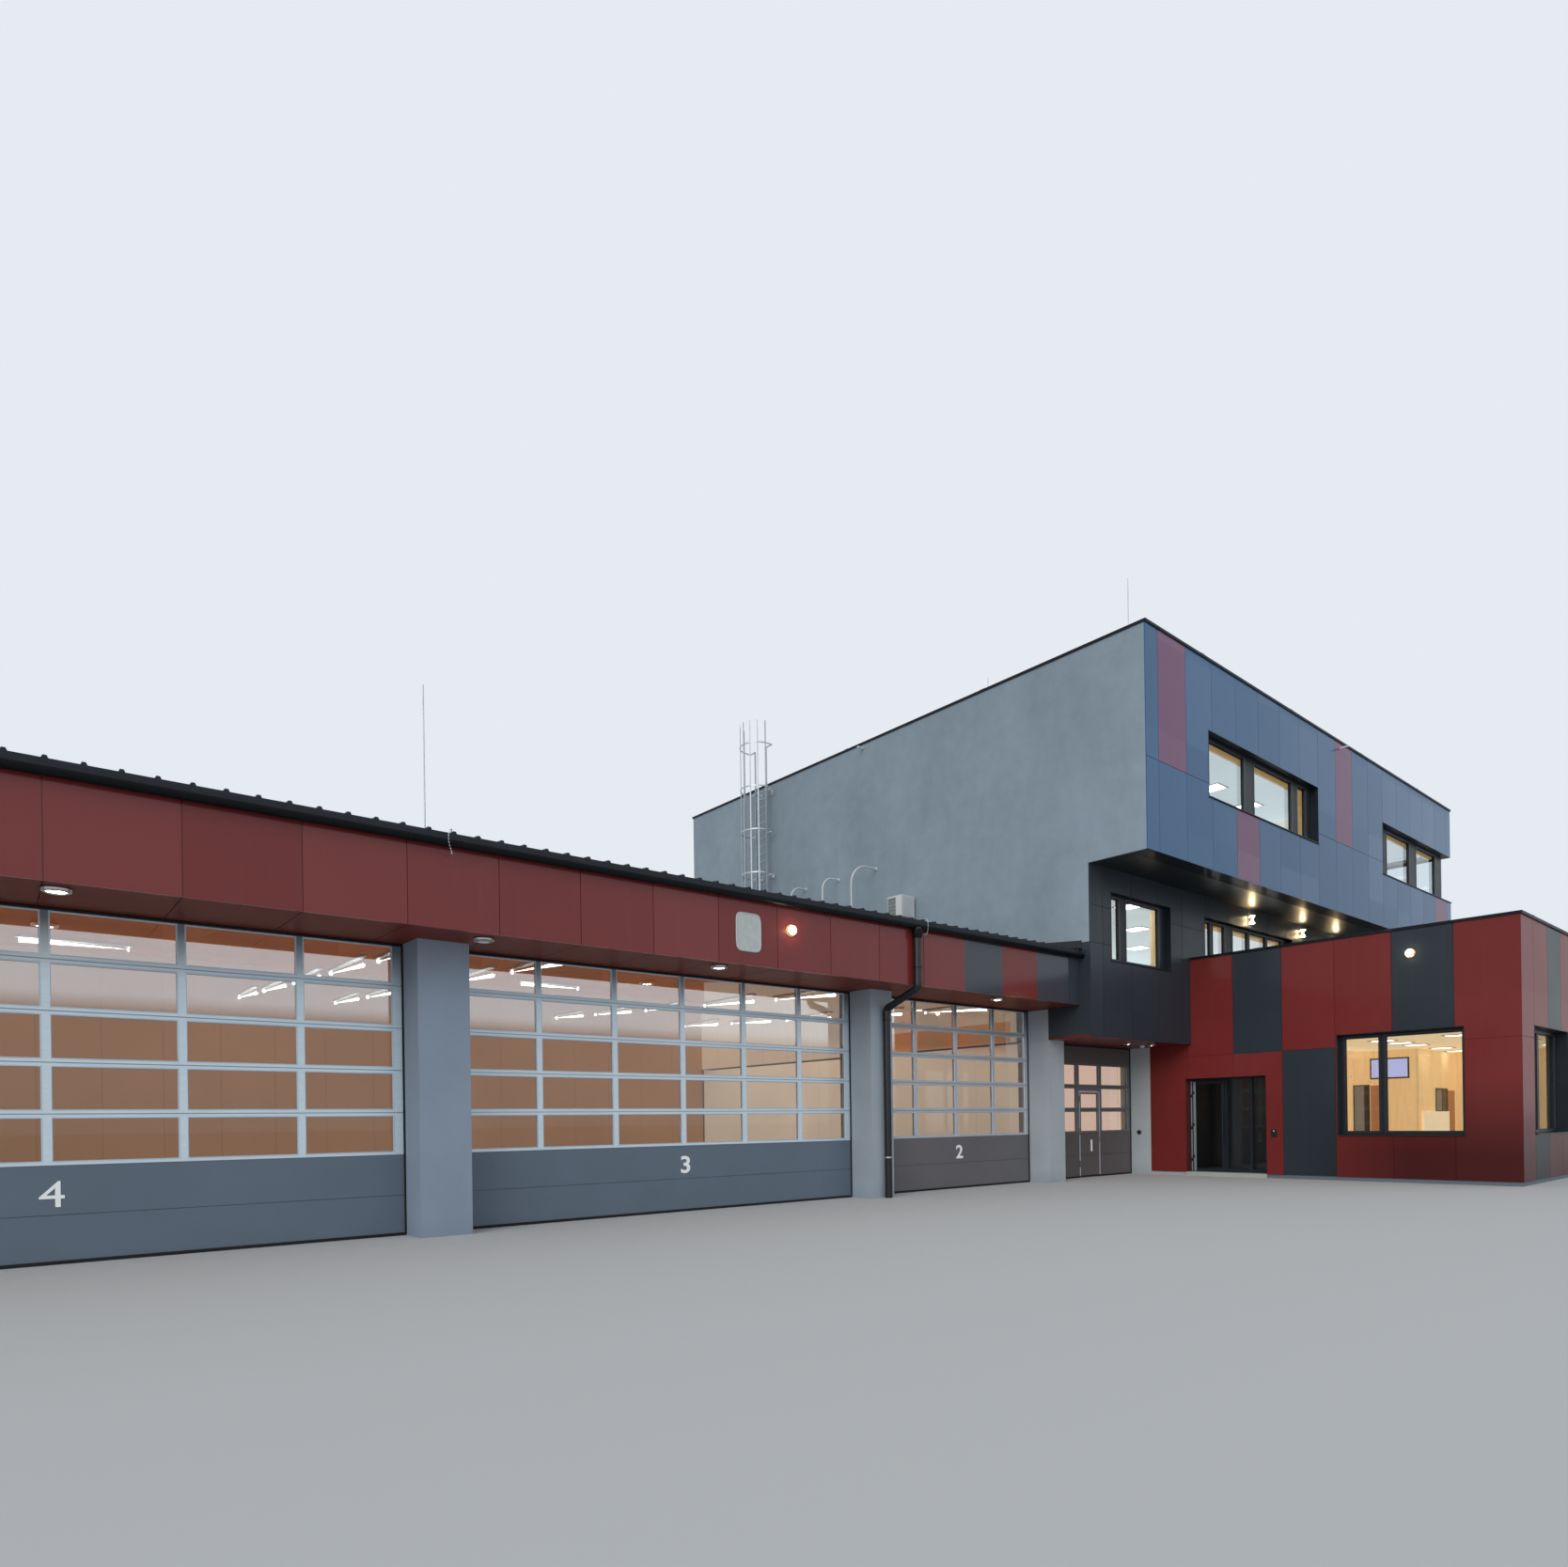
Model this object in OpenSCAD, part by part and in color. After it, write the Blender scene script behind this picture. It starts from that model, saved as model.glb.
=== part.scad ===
// Fire station building as a scale model at half the real size, in millimetres.
// A low hall with four vehicle bays stands on the left, a three-storey tower on the right
// and a single-storey entry block in front of the tower. The origin is under the middle of
// the whole building, and +Y points to the back. The modules count X from the tower's left
// face and Y from the plane of the bay doors, and place() moves them to the origin.

/* [Hall] */
// Width of the two wide bay doors at the left
wide_door_w = 4100; // [3600:10:4600]
// Width of the bay door next to the tower
mid_door_w = 2720; // [2300:10:3200]
// Height of the bay door heads and of the canopy's underside
head_z = 2095; // [1950:5:2400]
// Height of a closed door section
solid_h = 290; // [250:5:320]
// Thickness of a bay door
door_t = 40; // [30:1:60]
// Width of the bars between the door panes
door_bar = 42; // [30:1:60]
// Width of the upright stiles at a door's ends
stile_w = 75; // [55:1:95]
// Width of the corner pillar at the hall's free end
end_pillar_w = 485; // [400:5:600]
// Width of the pillar between the two wide doors
pillar_a_w = 370; // [300:5:450]
// Width of the pillar between the wide and the middle door
pillar_b_w = 310; // [260:5:400]
// Width of the pillar under the tower's left front corner
pillar_c_w = 317; // [280:1:400]
// Distance of the pillar fronts before the doors
pillar_out = 300; // [200:5:400]
// Thickness of the hall's walls
hall_wall_t = 150; // [110:5:200]
// Thickness of the hall's floor
hall_slab_t = 30; // [20:1:45]
// Distance of the canopy's front before the doors
canopy_d = 732; // [600:1:850]
// Height of the roof's underside at the canopy's front
eave_z = 2680; // [2580:5:2800]
// Slope of the hall's roof
roof_slope = 5; // [3:0.5:7]
// Thickness of the roof panels between the ribs
roof_t = 50; // [35:1:70]
// Distance from rib to rib
rib_pitch = 166.5; // [120:0.5:220]
// Height of the roof ribs
rib_h = 15; // [12:1:26]
// Width of a fascia panel
fascia_pitch = 625; // [500:5:700]
// Depth of the gutter from front to back
gutter_w = 80; // [60:1:100]
// Diameter of the downpipe
downpipe_d = 73; // [50:1:90]

/* [Tower] */
// Width of the tower
tower_w = 10560; // [9600:10:12000]
// Distance of the building's back from the bay doors
back_y = 7045; // [6000:5:8500]
// Thickness of the tower's and the block's walls
wall_t = 200; // [160:5:240]
// Thickness of the cladding panels
clad_t = 12; // [8:1:20]
// Distance of the middle storey's front before the bay doors
lower_d = 880; // [760:5:1000]
// Distance of the top storey's front before the bay doors
upper_d = 1606; // [1400:1:1900]
// Height of the underside of the middle storey
lower_z = 1720; // [1600:5:1800]
// Height of the underside of the top storey
upper_z = 3728; // [3650:1:3850]
// Height of the tower's coping
tower_h = 6250; // [6100:10:6600]
// Thickness of a floor
floor_t = 150; // [110:5:160]
// Height of the first floor's surface
floor_1_z = 2100; // [2050:5:2250]
// Height of the second floor's surface
floor_2_z = 4050; // [3980:5:4150]
// Height of the tower roof's surface
roof_z = 6000; // [5800:5:6050]
// Thickness of the copings
coping_t = 30; // [20:1:40]
// Width of an upper cladding panel
upper_pitch = 629; // [500:1:700]
// Height of the joint in the upper cladding
upper_joint_z = 4748; // [4600:1:5200]

// Heights of the joints in the middle storey's cladding
lower_joints_z = [2815, 3250];

/* [Entry block] */
// Distance of the block's left face from the tower's left face
block_x = 2347; // [2200:1:2600]
// Distance of the block's front before the bay doors
block_d = 4405; // [4200:5:5000]
// Height of the block's coping
block_h = 2857; // [2750:1:2950]
// Height of the block roof's surface
block_roof_z = 2400; // [2250:5:2500]
// Height of the office floor and of the block's plinth
office_z = 50; // [30:1:60]
// Width of a block cladding panel
block_pitch = 595; // [500:5:700]
// Height of the joint between the two rows of block cladding
block_joint_z = 1561; // [1450:1:1650]
// Distance of the entrance's near side before the bay doors
entry_y = 795; // [700:5:900]
// Width of the entrance opening
entry_w = 1029; // [950:1:1150]
// Height of the entrance opening above the office floor
entry_h = 1222; // [1100:1:1350]
// Depth of the entrance's recess behind the cladding
entry_recess = 135; // [90:1:150]
// Width of the entrance leaf
leaf_w = 420; // [380:5:450]

/* [Windows] */
// Depth of the window frames from front to back
frame_t = 40; // [30:1:50]
// Width of the window frame bars
frame_w = 45; // [30:1:60]
// Thickness of the glass
glass_t = 8; // [6:1:12]
// Depth of the upper window's reveal
upper_recess = 100; // [60:1:130]
// Depth of the corner window's reveal on the tower's right side
corner_recess = 150; // [110:5:155]
// Depth of the middle windows' reveal
lower_recess = 70; // [50:1:110]
// Depth of the block windows' reveal
block_recess = 120; // [70:1:140]

/* [Wicket and entrance leaf] */
// Width of the wicket leaf in the small bay door
wicket_w = 481; // [430:1:520]
// Height of the wicket leaf
wicket_h = 1117; // [1050:1:1180]
// Clearance round a moving leaf
leaf_gap = 5; // [4:0.5:8]
// Radius of a hinge barrel
barrel_r = 7; // [6:0.5:9]
// Radius of a hinge pin
pin_r = 3; // [2:0.5:4]

/* [Roof kit] */
// Distance of the ladder's middle behind the bay doors
ladder_y = 4975; // [4500:5:5800]
// Distance between the ladder's rails
ladder_w = 280; // [240:5:320]
// Distance of the ladder before the wall
ladder_off = 100; // [80:1:130]
// Radius of the ladder's cage
cage_r = 280; // [250:5:320]

/* [Hidden] */
$fn = 48;

// Places along the front, from the tower's left face to the left
x_door_2 = -mid_door_w;
x_pillar_b = x_door_2 - pillar_b_w;
x_door_3 = x_pillar_b - wide_door_w;
x_pillar_a = x_door_3 - pillar_a_w;
x_door_4 = x_pillar_a - wide_door_w;
x_end = x_door_4 - end_pillar_w;
hall_l = -x_end;

// Faces of the tower and the block behind their cladding
y_upper = -upper_d + clad_t;
y_lower = -lower_d + clad_t;
y_block = -block_d + clad_t;
x_block = block_x + clad_t;
x_inner = tower_w - wall_t;
y_inner = back_y - wall_t;
hall_inner_y = back_y - hall_wall_t;
wall_top = tower_h - coping_t;
block_top = block_h - coping_t;

// Small bay door and its wicket
x_door_1 = pillar_c_w;
door_1_w = block_x - pillar_c_w;
wicket_x = x_door_1 + (door_1_w - wicket_w) / 2;
wicket_z = 8;
wicket_l = wicket_x - leaf_gap;
wicket_r = wicket_x + wicket_w + leaf_gap;
wicket_top = wicket_z + wicket_h + leaf_gap;
leaf_t = 30;

// Windows: left edge, width, sill and height of each one, in the plane of its wall, and
// the left and right edges of its lights, from the window's own left edge
w1 = [1435, 3225, 4589, 802];
w1_lights = [[60, 1141], [1438, 2570], [2774, 3028]];
w2_x = 7180;
w2_z = 4564;
w2_h = 826;
w2_side = 1650;
w2_lights = [[480, 1535], [1890, 2855]];
w5 = [451, 1404, 2633, 823];
w5_lights = [[40, 283], [454, 1218]];
w6 = [2755, 2775, 2633, 823];
w6_lights = [[40, 296], [378, 709], [965, 1431], [1491, 2018], [2081, 2570]];
w3 = [-3899, 1263, 527, 1180];
w3_lights = [[48, 403], [475, 1215]];
w4_x = [2830, 5330, 7830];
w4 = [1500, 527, 1173];
w4_lights = [[48, 650], [722, 1452]];

joint_w = 6;
joint_d = 6;

seat = 0.3;
function roof_base(y) = eave_z + (y + canopy_d) * tan(roof_slope);
function under_roof(y) = roof_base(y) - seat;

// A box given by its low and high corners
module block(a, b) {
    translate(a) cube(b - a);
}

// A side view in Y and Z, drawn out along X from x0 to x1
module along_x(x0, x1) {
    translate([x0, 0, 0]) rotate([90, 0, 90]) linear_extrude(x1 - x0) children();
}

// A piece of wall between y0 and y1 that ends under the sloping roof
module under_slope(x0, x1, y0, y1, z0) {
    along_x(x0, x1)
        polygon([[y0, z0], [y1, z0], [y1, under_roof(y1)], [y0, under_roof(y0)]]);
}

// A window frame of width w and height h with a cut-out for each light. A metal lining covers
// the reveal of the given depth, and its sill stands out from the facade.
lining_t = 6;
sill_out = 16;
sill_t = 10;
module window_frame(w, h, lights, reveal) {
    difference() {
        cube([w, frame_t, h]);
        for (l = lights)
            translate([l[0], -1, frame_w]) cube([l[1] - l[0], frame_t + 2, h - 2 * frame_w]);
    }
    if (reveal > 0) {
        translate([0, -reveal - sill_out, 0]) cube([w, reveal + sill_out, sill_t]);
        difference() {
            translate([0, -reveal - 3, 0]) cube([w, reveal + 3, h]);
            translate([lining_t, -reveal - 4, sill_t])
                cube([w - 2 * lining_t, reveal + 5, h - sill_t - lining_t]);
        }
    }
}

/* Hall */

// The floor runs up to the backs of the doors and round the pillars
module hall_floor() {
    y0 = door_t + glass_t;
    color("darkgray") difference() {
        block([x_end + hall_wall_t, y0, 0], [x_block + wall_t, hall_inner_y, hall_slab_t]);
        block([x_end, y0 - 1, -1], [x_door_4, hall_wall_t, hall_slab_t + 1]);
        block([x_pillar_a, y0 - 1, -1], [x_door_3, hall_wall_t, hall_slab_t + 1]);
        block([x_pillar_b, y0 - 1, -1], [x_door_2, hall_wall_t, hall_slab_t + 1]);
        block([0, y0 - 1, -1], [pillar_c_w, hall_wall_t, hall_slab_t + 1]);
        block([block_x, y0 - 1, -1], [x_block + wall_t + 1, hall_wall_t, hall_slab_t + 1]);
        block([0, y_inner, -1], [x_block + wall_t + 1, back_y, hall_slab_t + 1]);
    }
}

module hall_left_wall() {
    color("gray") under_slope(x_end, x_end + hall_wall_t, hall_wall_t, back_y, 0);
}

module hall_back_wall() {
    color("gray") under_slope(x_end + hall_wall_t, 0, hall_inner_y, back_y, 0);
}

module pillar(x, w, top) {
    color("darkgray") block([x, -pillar_out, 0], [x + w, hall_wall_t, top]);
}

// The wall between the small bay door and the entrance: its end is bare up to the pillar
// line, and the part before it lies behind the cladding
module pillar_d() {
    color("darkgray") {
        pillar(block_x, clad_t + wall_t, lower_z);
        block([x_block, -entry_y, 0], [x_block + wall_t, -pillar_out, lower_z]);
    }
}

module door_header() {
    color("gray") under_slope(x_end, 0, 0, hall_wall_t, head_z);
}

canopy_t = 30;
skin_y = clad_t + 8;
// Fascia panels are counted from the tower: the first is a rest piece
fascia_rest = hall_l - fascia_pitch * floor(hall_l / fascia_pitch);
function fascia_x(k) = k == 0 ? 0 : -fascia_rest - (k - 1) * fascia_pitch;

// The soffit of the canopy has the fascia's joints too
module canopy() {
    color("firebrick") difference() {
        union() {
            under_slope(x_end + skin_y, 0, -canopy_d + skin_y, -canopy_d + skin_y + canopy_t, head_z);
            block([x_end + skin_y, -canopy_d + skin_y, head_z], [0, 0, head_z + canopy_t]);
            under_slope(x_end + skin_y, x_end + skin_y + canopy_t, -canopy_d + skin_y, 0, head_z);
        }
        for (k = [1 : floor(hall_l / fascia_pitch)])
            block([fascia_x(k) - joint_w / 2, -canopy_d, head_z - 1],
                [fascia_x(k) + joint_w / 2, 1, head_z + joint_d]);
    }
}

module fascia(k0, k1) {
    x0 = max(fascia_x(k1), x_end);
    difference() {
        under_slope(x0, fascia_x(k0), -canopy_d, -canopy_d + skin_y, head_z);
        for (k = [k0 + 1 : 1 : k1 - 1])
            translate([fascia_x(k) - joint_w / 2, -canopy_d - 1, head_z - 1])
                cube([joint_w, joint_d + 1, eave_z]);
    }
}

module fascia_red() {
    color("firebrick") {
        fascia(4, floor(hall_l / fascia_pitch) + 1);
        under_slope(x_end, x_end + skin_y, -canopy_d, 0, head_z);
        fascia(2, 3);
    }
}

module fascia_dark() {
    color("darkslategray") {
        fascia(3, 4);
        fascia(0, 2);
    }
}

roof_front = canopy_d + 38;
module hall_roof() {
    run = (back_y + roof_end + roof_front) / cos(roof_slope);
    ribs = floor(hall_l / rib_pitch);
    top = [for (i = [0 : ribs - 1]) let (x = -rib_pitch * (i + 0.5))
        for (p = [[16, 0], [9, rib_h], [-9, rib_h], [-16, 0]]) [x + p[0], roof_t + p[1]]];
    color("dimgray")
        translate([0, -roof_front, roof_base(-roof_front)]) rotate([roof_slope, 0, 0])
            translate([0, run, 0]) rotate([90, 0, 0]) linear_extrude(run)
                polygon(concat([[x_end, 0], [0, 0], [0, roof_t]], top, [[x_end, roof_t]]));
}

// Half-round gutter with a bead along its front edge and a plate at each end
gutter_r = gutter_w / 2;
gutter_t = 4;
gutter_y = -canopy_d - gutter_r;
gutter_top = roof_base(gutter_y - gutter_r) - 1;
module gutter() {
    color("dimgray") {
        along_x(x_end, 0) {
            translate([gutter_y, gutter_top]) difference() {
                circle(r = gutter_r);
                circle(r = gutter_r - gutter_t);
                translate([-gutter_w, 0]) square(2 * gutter_w);
            }
            translate([gutter_y - gutter_r + gutter_t, gutter_top]) circle(r = gutter_t);
        }
        for (x = [x_end, -gutter_t])
            along_x(x, x + gutter_t) translate([gutter_y, gutter_top]) difference() {
                circle(r = gutter_r);
                translate([-gutter_w, 0]) square(2 * gutter_w);
            }
    }
}

// The downpipe leaves the gutter, bends back under the canopy and follows the pillar
pipe_x = x_pillar_b + 0.58 * pillar_b_w;
pipe_r = downpipe_d / 2;
collar_t = 3;
pipe_front = -canopy_d - pipe_r - collar_t - 2;
pipe_back = -pillar_out - pipe_r - 12;
pipe_bend_z = head_z - 31;
pipe_low_z = pipe_bend_z - 165;
bend_r = 50;
bend_a = atan2(pipe_back - pipe_front, pipe_bend_z - pipe_low_z);
bend_l = bend_r * tan(bend_a / 2);

// A bend of the downpipe from the given angle, in the plane across the building
module pipe_bend(start) {
    rotate([90, 0, 90]) rotate([0, 0, start]) rotate_extrude(angle = bend_a)
        translate([bend_r, 0]) circle(r = pipe_r);
}

module pipe_socket(h) {
    cylinder(r = pipe_r + collar_t, h = h);
}

module downpipe() {
    run = pipe_back - pipe_front;
    drop = pipe_bend_z - pipe_low_z;
    length = sqrt(run * run + drop * drop);
    outlet_z = gutter_top - gutter_r - 1;
    top_z = pipe_bend_z + bend_l;
    low_z = pipe_low_z - bend_l;
    color("dimgray") translate([pipe_x, 0, 0]) {
        translate([0, pipe_front, 0]) {
            translate([0, 0, top_z]) cylinder(r = pipe_r, h = outlet_z - top_z);
            translate([0, 0, top_z - 8]) pipe_socket(34);
            translate([0, 0, top_z + 150]) pipe_socket(34);
        }
        difference() {
            translate([0, pipe_front, outlet_z - 60]) pipe_socket(80);
            translate([-pipe_r - 5, gutter_y, gutter_top]) rotate([0, 90, 0])
                cylinder(r = gutter_r + seat, h = 2 * pipe_r + 10);
        }
        translate([0, pipe_front + bend_r, top_z]) pipe_bend(180);
        translate([0, pipe_back, pipe_low_z]) rotate([bend_a, 0, 0]) {
            translate([0, 0, bend_l]) cylinder(r = pipe_r, h = length - 2 * bend_l);
            translate([0, 0, bend_l - 8]) pipe_socket(34);
            translate([0, 0, length - bend_l - 26]) pipe_socket(34);
        }
        translate([0, pipe_back - bend_r, low_z]) pipe_bend(0);
        translate([0, pipe_back, 0]) {
            cylinder(r = pipe_r, h = low_z);
            translate([0, 0, low_z - 26]) pipe_socket(34);
            for (z = [400, 1150])
                translate([0, 0, z]) {
                    pipe_socket(12);
                    translate([-8, 0, 0]) cube([16, -pillar_out - pipe_back, 12]);
                }
        }
    }
}

/* Bay doors */

section_gap = 4;
pane_h = (head_z - 2 * solid_h) / 5;
glass_z = 2 * solid_h;

// Window openings of a door: columns between the x values, rows from the lowest pane up
module panes(cols, rows, edge) {
    for (i = [0 : len(cols) - 2], k = [0 : rows - 1])
        block([cols[i] + (i == 0 ? edge : door_bar / 2), -1, glass_z + k * pane_h + door_bar / 2],
            [cols[i + 1] - (i == len(cols) - 2 ? edge : door_bar / 2), door_t + 1,
                glass_z + (k + 1) * pane_h - door_bar / 2]);
}

module section_lines(x0, x1, rows) {
    for (z = concat([solid_h], [for (k = [0 : rows]) glass_z + k * pane_h]))
        block([x0 - 1, -1, z - section_gap / 2], [x1 + 1, joint_d, z + section_gap / 2]);
}

module bay_door(x, w, cols) {
    color("dimgray") difference() {
        block([x, 0, 0], [x + w, door_t, head_z]);
        panes([for (i = [0 : cols]) x + i * w / cols], 5, stile_w);
        section_lines(x, x + w, 4);
    }
}

// The small door is shorter, and its upright columns stand beside the wicket
module bay_door_1_side(x0, x1, edge0, edge1) {
    color("dimgray") difference() {
        block([x0, 0, 0], [x1, door_t, lower_z]);
        for (k = [0 : 2])
            block([x0 + edge0, -1, glass_z + k * pane_h + door_bar / 2],
                [x1 - edge1, door_t + 1, glass_z + (k + 1) * pane_h - door_bar / 2]);
        section_lines(x0, x1, 3);
    }
}

module bay_door_1_sides() {
    bay_door_1_side(x_door_1, wicket_l, stile_w, door_bar);
    bay_door_1_side(wicket_r, block_x, door_bar, stile_w);
    for (z = hinge_z)
        hinge_fixed(wicket_axis, z, 0);
}

module bay_door_1_head() {
    color("dimgray") difference() {
        block([wicket_l, 0, wicket_top], [wicket_r, door_t, lower_z]);
        block([wicket_l + 8, -1, glass_z + 2 * pane_h + door_bar / 2],
            [wicket_r - 8, door_t + 1, glass_z + 3 * pane_h - door_bar / 2]);
    }
}

module bay_door_glass() {
    top_1 = glass_z + 3 * pane_h;
    color("lightblue", 0.4) {
        for (d = [[x_door_4, wide_door_w], [x_door_3, wide_door_w], [x_door_2, mid_door_w]])
            block([d[0], door_t, glass_z], [d[0] + d[1], door_t + glass_t, head_z]);
        block([x_door_1, door_t, glass_z], [wicket_l - 2, door_t + glass_t, top_1]);
        block([wicket_r + 2, door_t, glass_z], [block_x, door_t + glass_t, top_1]);
        block([wicket_l, door_t, glass_z + 2 * pane_h], [wicket_r, door_t + glass_t, top_1]);
    }
}

module roof_beams() {
    beam_w = 90;
    beam_h = 330;
    color("peru") for (i = [1 : 5])
        along_x(x_end + i * hall_l / 6 - beam_w / 2, x_end + i * hall_l / 6 + beam_w / 2)
            polygon([[hall_wall_t, under_roof(hall_wall_t)], [hall_inner_y, under_roof(hall_inner_y)],
                [hall_inner_y, under_roof(hall_inner_y) - beam_h],
                [hall_wall_t, under_roof(hall_wall_t) - beam_h]]);
}

/* Hinges and leaves */

// Hinge axes stand before the leaf's face. A barrel half with the pin is on the frame, and
// the leaf's half sits on it. side is +1 where the leaf lies at +X of the axis.
plate_t = 4;
plate_w = 24;
barrel_h = 40;
hinge_z = [140, 560, 980];
axis_off = barrel_r + 1;
wicket_axis = wicket_l + leaf_gap / 2;

module hinge_fixed(x, z, y) {
    color("dimgray") translate([x, y - axis_off, z]) {
        cylinder(r = barrel_r, h = barrel_h);
        cylinder(r = pin_r, h = 2 * barrel_h);
        translate([-plate_w, 0, 0]) cube([plate_w, plate_t, barrel_h]);
        translate([-plate_w, 0, 0]) cube([plate_w - axis_off, axis_off, barrel_h]);
    }
}

module hinge_leaf(x, z, y) {
    color("dimgray") translate([x, y - axis_off, z + barrel_h + 0.3]) difference() {
        union() {
            cylinder(r = barrel_r, h = barrel_h);
            cube([plate_w, plate_t, barrel_h]);
            translate([axis_off, 0, 0]) cube([plate_w - axis_off, axis_off, barrel_h]);
        }
        translate([0, 0, -1]) cylinder(r = pin_r + 0.3, h = barrel_h + 2);
    }
}

module wicket_leaf() {
    edge = 40;
    color("dimgray") {
        difference() {
            translate([wicket_x, 0, wicket_z]) cube([wicket_w, leaf_t, wicket_h]);
            block([wicket_x + edge, -1, glass_z + door_bar / 2],
                [wicket_x + wicket_w - edge, leaf_t + 1, glass_z + pane_h - door_bar / 2]);
            block([wicket_x + edge, -1, glass_z + pane_h + door_bar / 2],
                [wicket_x + wicket_w - edge, leaf_t + 1, wicket_z + wicket_h - 30]);
            section_lines(wicket_x, wicket_x + wicket_w, 1);
        }
        for (z = hinge_z)
            hinge_leaf(wicket_axis, z, 0);
    }
}

module wicket_glass() {
    color("lightblue", 0.4)
        block([wicket_x + 10, leaf_t, glass_z],
            [wicket_x + wicket_w - 10, leaf_t + glass_t, wicket_z + wicket_h - 10]);
}

module wicket_handle() {
    x = wicket_x + wicket_w - 22;
    color("silver") translate([x, 0, 505]) {
        translate([-9, -4, -50]) cube([18, 4, 100]);
        rotate([90, 0, 0]) cylinder(r = 5, h = 28);
        translate([0, -23, 0]) rotate([0, -90, 0]) cylinder(r = 5, h = 62);
    }
}

/* Tower */

module office_floor() {
    color("darkgray") block([block_x + clad_t + wall_t, y_block + wall_t, 0], [x_inner, y_inner, office_z]);
}

module tower_left_wall() {
    color("slategray") difference() {
        tower_side();
        block([-1, y_lower - 1, lower_z - 1], [clad_t, 0, return_z]);
    }
}

module tower_side() {
    along_x(0, wall_t)
        polygon([[y_lower, lower_z + soffit_t], [hall_wall_t, lower_z + soffit_t], [hall_wall_t, lower_z],
            [y_inner, lower_z], [y_inner, 0], [back_y, 0], [back_y, wall_top],
            [y_upper, wall_top], [y_upper, upper_z], [y_lower, upper_z]]);
}

module tower_right_wall() {
    color("slategray") difference() {
        along_x(x_inner, tower_w)
            polygon([[y_lower, 0], [back_y, 0], [back_y, wall_top], [y_upper, wall_top],
                [y_upper, upper_z], [y_lower, upper_z]]);
        block([x_inner - 1, y_upper - 1, w2_z], [tower_w + 1, y_upper + w2_side, w2_z + w2_h]);
    }
}

module tower_back_wall() {
    color("slategray") block([wall_t, y_inner, 0], [x_inner, back_y, wall_top]);
}

module lower_front_wall() {
    color("slategray") difference() {
        block([wall_t, y_lower, lower_z + soffit_t], [x_inner, y_lower + wall_t, floor_2_z - floor_t]);
        for (w = [w5, w6])
            block([w[0], y_lower - 1, w[2]], [w[0] + w[1], y_lower + wall_t + 1, w[2] + w[3]]);
    }
}

module upper_front_wall() {
    color("slategray") difference() {
        block([wall_t, y_upper, upper_z], [x_inner, y_upper + wall_t, wall_top]);
        block([w1[0], y_upper - 1, w1[2]], [w1[0] + w1[1], y_upper + wall_t + 1, w1[2] + w1[3]]);
        block([w2_x, y_upper - 1, w2_z], [x_inner + 1, y_upper + wall_t + 1, w2_z + w2_h]);
    }
}

module first_floor() {
    color("darkgray") block([wall_t, y_lower + wall_t, floor_1_z - floor_t], [x_inner, y_inner, floor_1_z]);
}

module second_floor() {
    color("darkgray") block([wall_t, y_upper + wall_t, floor_2_z - floor_t], [x_inner, y_inner, floor_2_z]);
}

module tower_roof() {
    color("dimgray") block([wall_t, y_upper + wall_t, roof_z - floor_t], [x_inner, y_inner, roof_z]);
}

module ring(x0, x1, y0, y1, z, t, w) {
    difference() {
        block([x0, y0, z], [x1, y1, z + t]);
        block([x0 + w, y0 + w, z - 1], [x1 - w, y1 - w, z + t + 1]);
    }
}

coping_over = 15;
module tower_coping() {
    color("black") ring(-coping_over, tower_w + coping_over, -upper_d - coping_over, back_y + coping_over,
        wall_top, coping_t, wall_t + 2 * coping_over);
}

soffit_t = 24;
module upper_soffit() {
    color("dimgray") block([wall_t, y_upper + wall_t, upper_z], [x_inner, y_lower, upper_z + soffit_t]);
}

module lower_soffit() {
    color("firebrick") {
        block([0, y_lower, lower_z], [x_block, hall_wall_t, lower_z + soffit_t]);
        block([wall_t, y_lower + wall_t, lower_z], [x_block + wall_t, hall_wall_t, floor_1_z - floor_t]);
    }
}

// Cladding sheet in front of a wall, with a groove at every joint
module sheet(x0, x1, y, z0, z1, xs, zs) {
    difference() {
        block([x0, y, z0], [x1, y + clad_t, z1]);
        for (x = xs)
            block([x - joint_w / 2, y - 1, z0 - 1], [x + joint_w / 2, y + joint_d, z1 + 1]);
        for (z = zs)
            block([x0 - 1, y - 1, z - joint_w / 2], [x1 + 1, y + joint_d, z + joint_w / 2]);
    }
}

upper_first = 265;
function upper_x(k) = upper_first + k * upper_pitch;
upper_joints = [for (k = [0 : floor((tower_w - upper_first) / upper_pitch)]) upper_x(k)];
red_d = 8;
// Places of the red panels: column and row, 1 is the upper row
last_column = floor((tower_w - upper_first) / upper_pitch) - 1;
red_panels = [[0, 1], [8, 1], [3, 0], [last_column, 0]];
module red_panel(p, grow) {
    z0 = p[1] == 1 ? upper_joint_z : upper_z;
    z1 = p[1] == 1 ? wall_top : upper_joint_z;
    block([upper_x(p[0]) + joint_w / 2 - grow, -upper_d - grow, z0 + joint_w / 2 - grow],
        [upper_x(p[0] + 1) - joint_w / 2 + grow, -upper_d + red_d, z1 - joint_w / 2 + grow]);
}

module upper_cladding_dark() {
    color("darkslateblue") difference() {
        sheet(0, tower_w, -upper_d, upper_z, wall_top, upper_joints, [upper_joint_z]);
        block([w1[0], -upper_d - 1, w1[2]], [w1[0] + w1[1], 0, w1[2] + w1[3]]);
        block([w2_x, -upper_d - 1, w2_z], [tower_w + 1, 0, w2_z + w2_h]);
        for (p = red_panels)
            red_panel(p, 0.5);
    }
}

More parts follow.
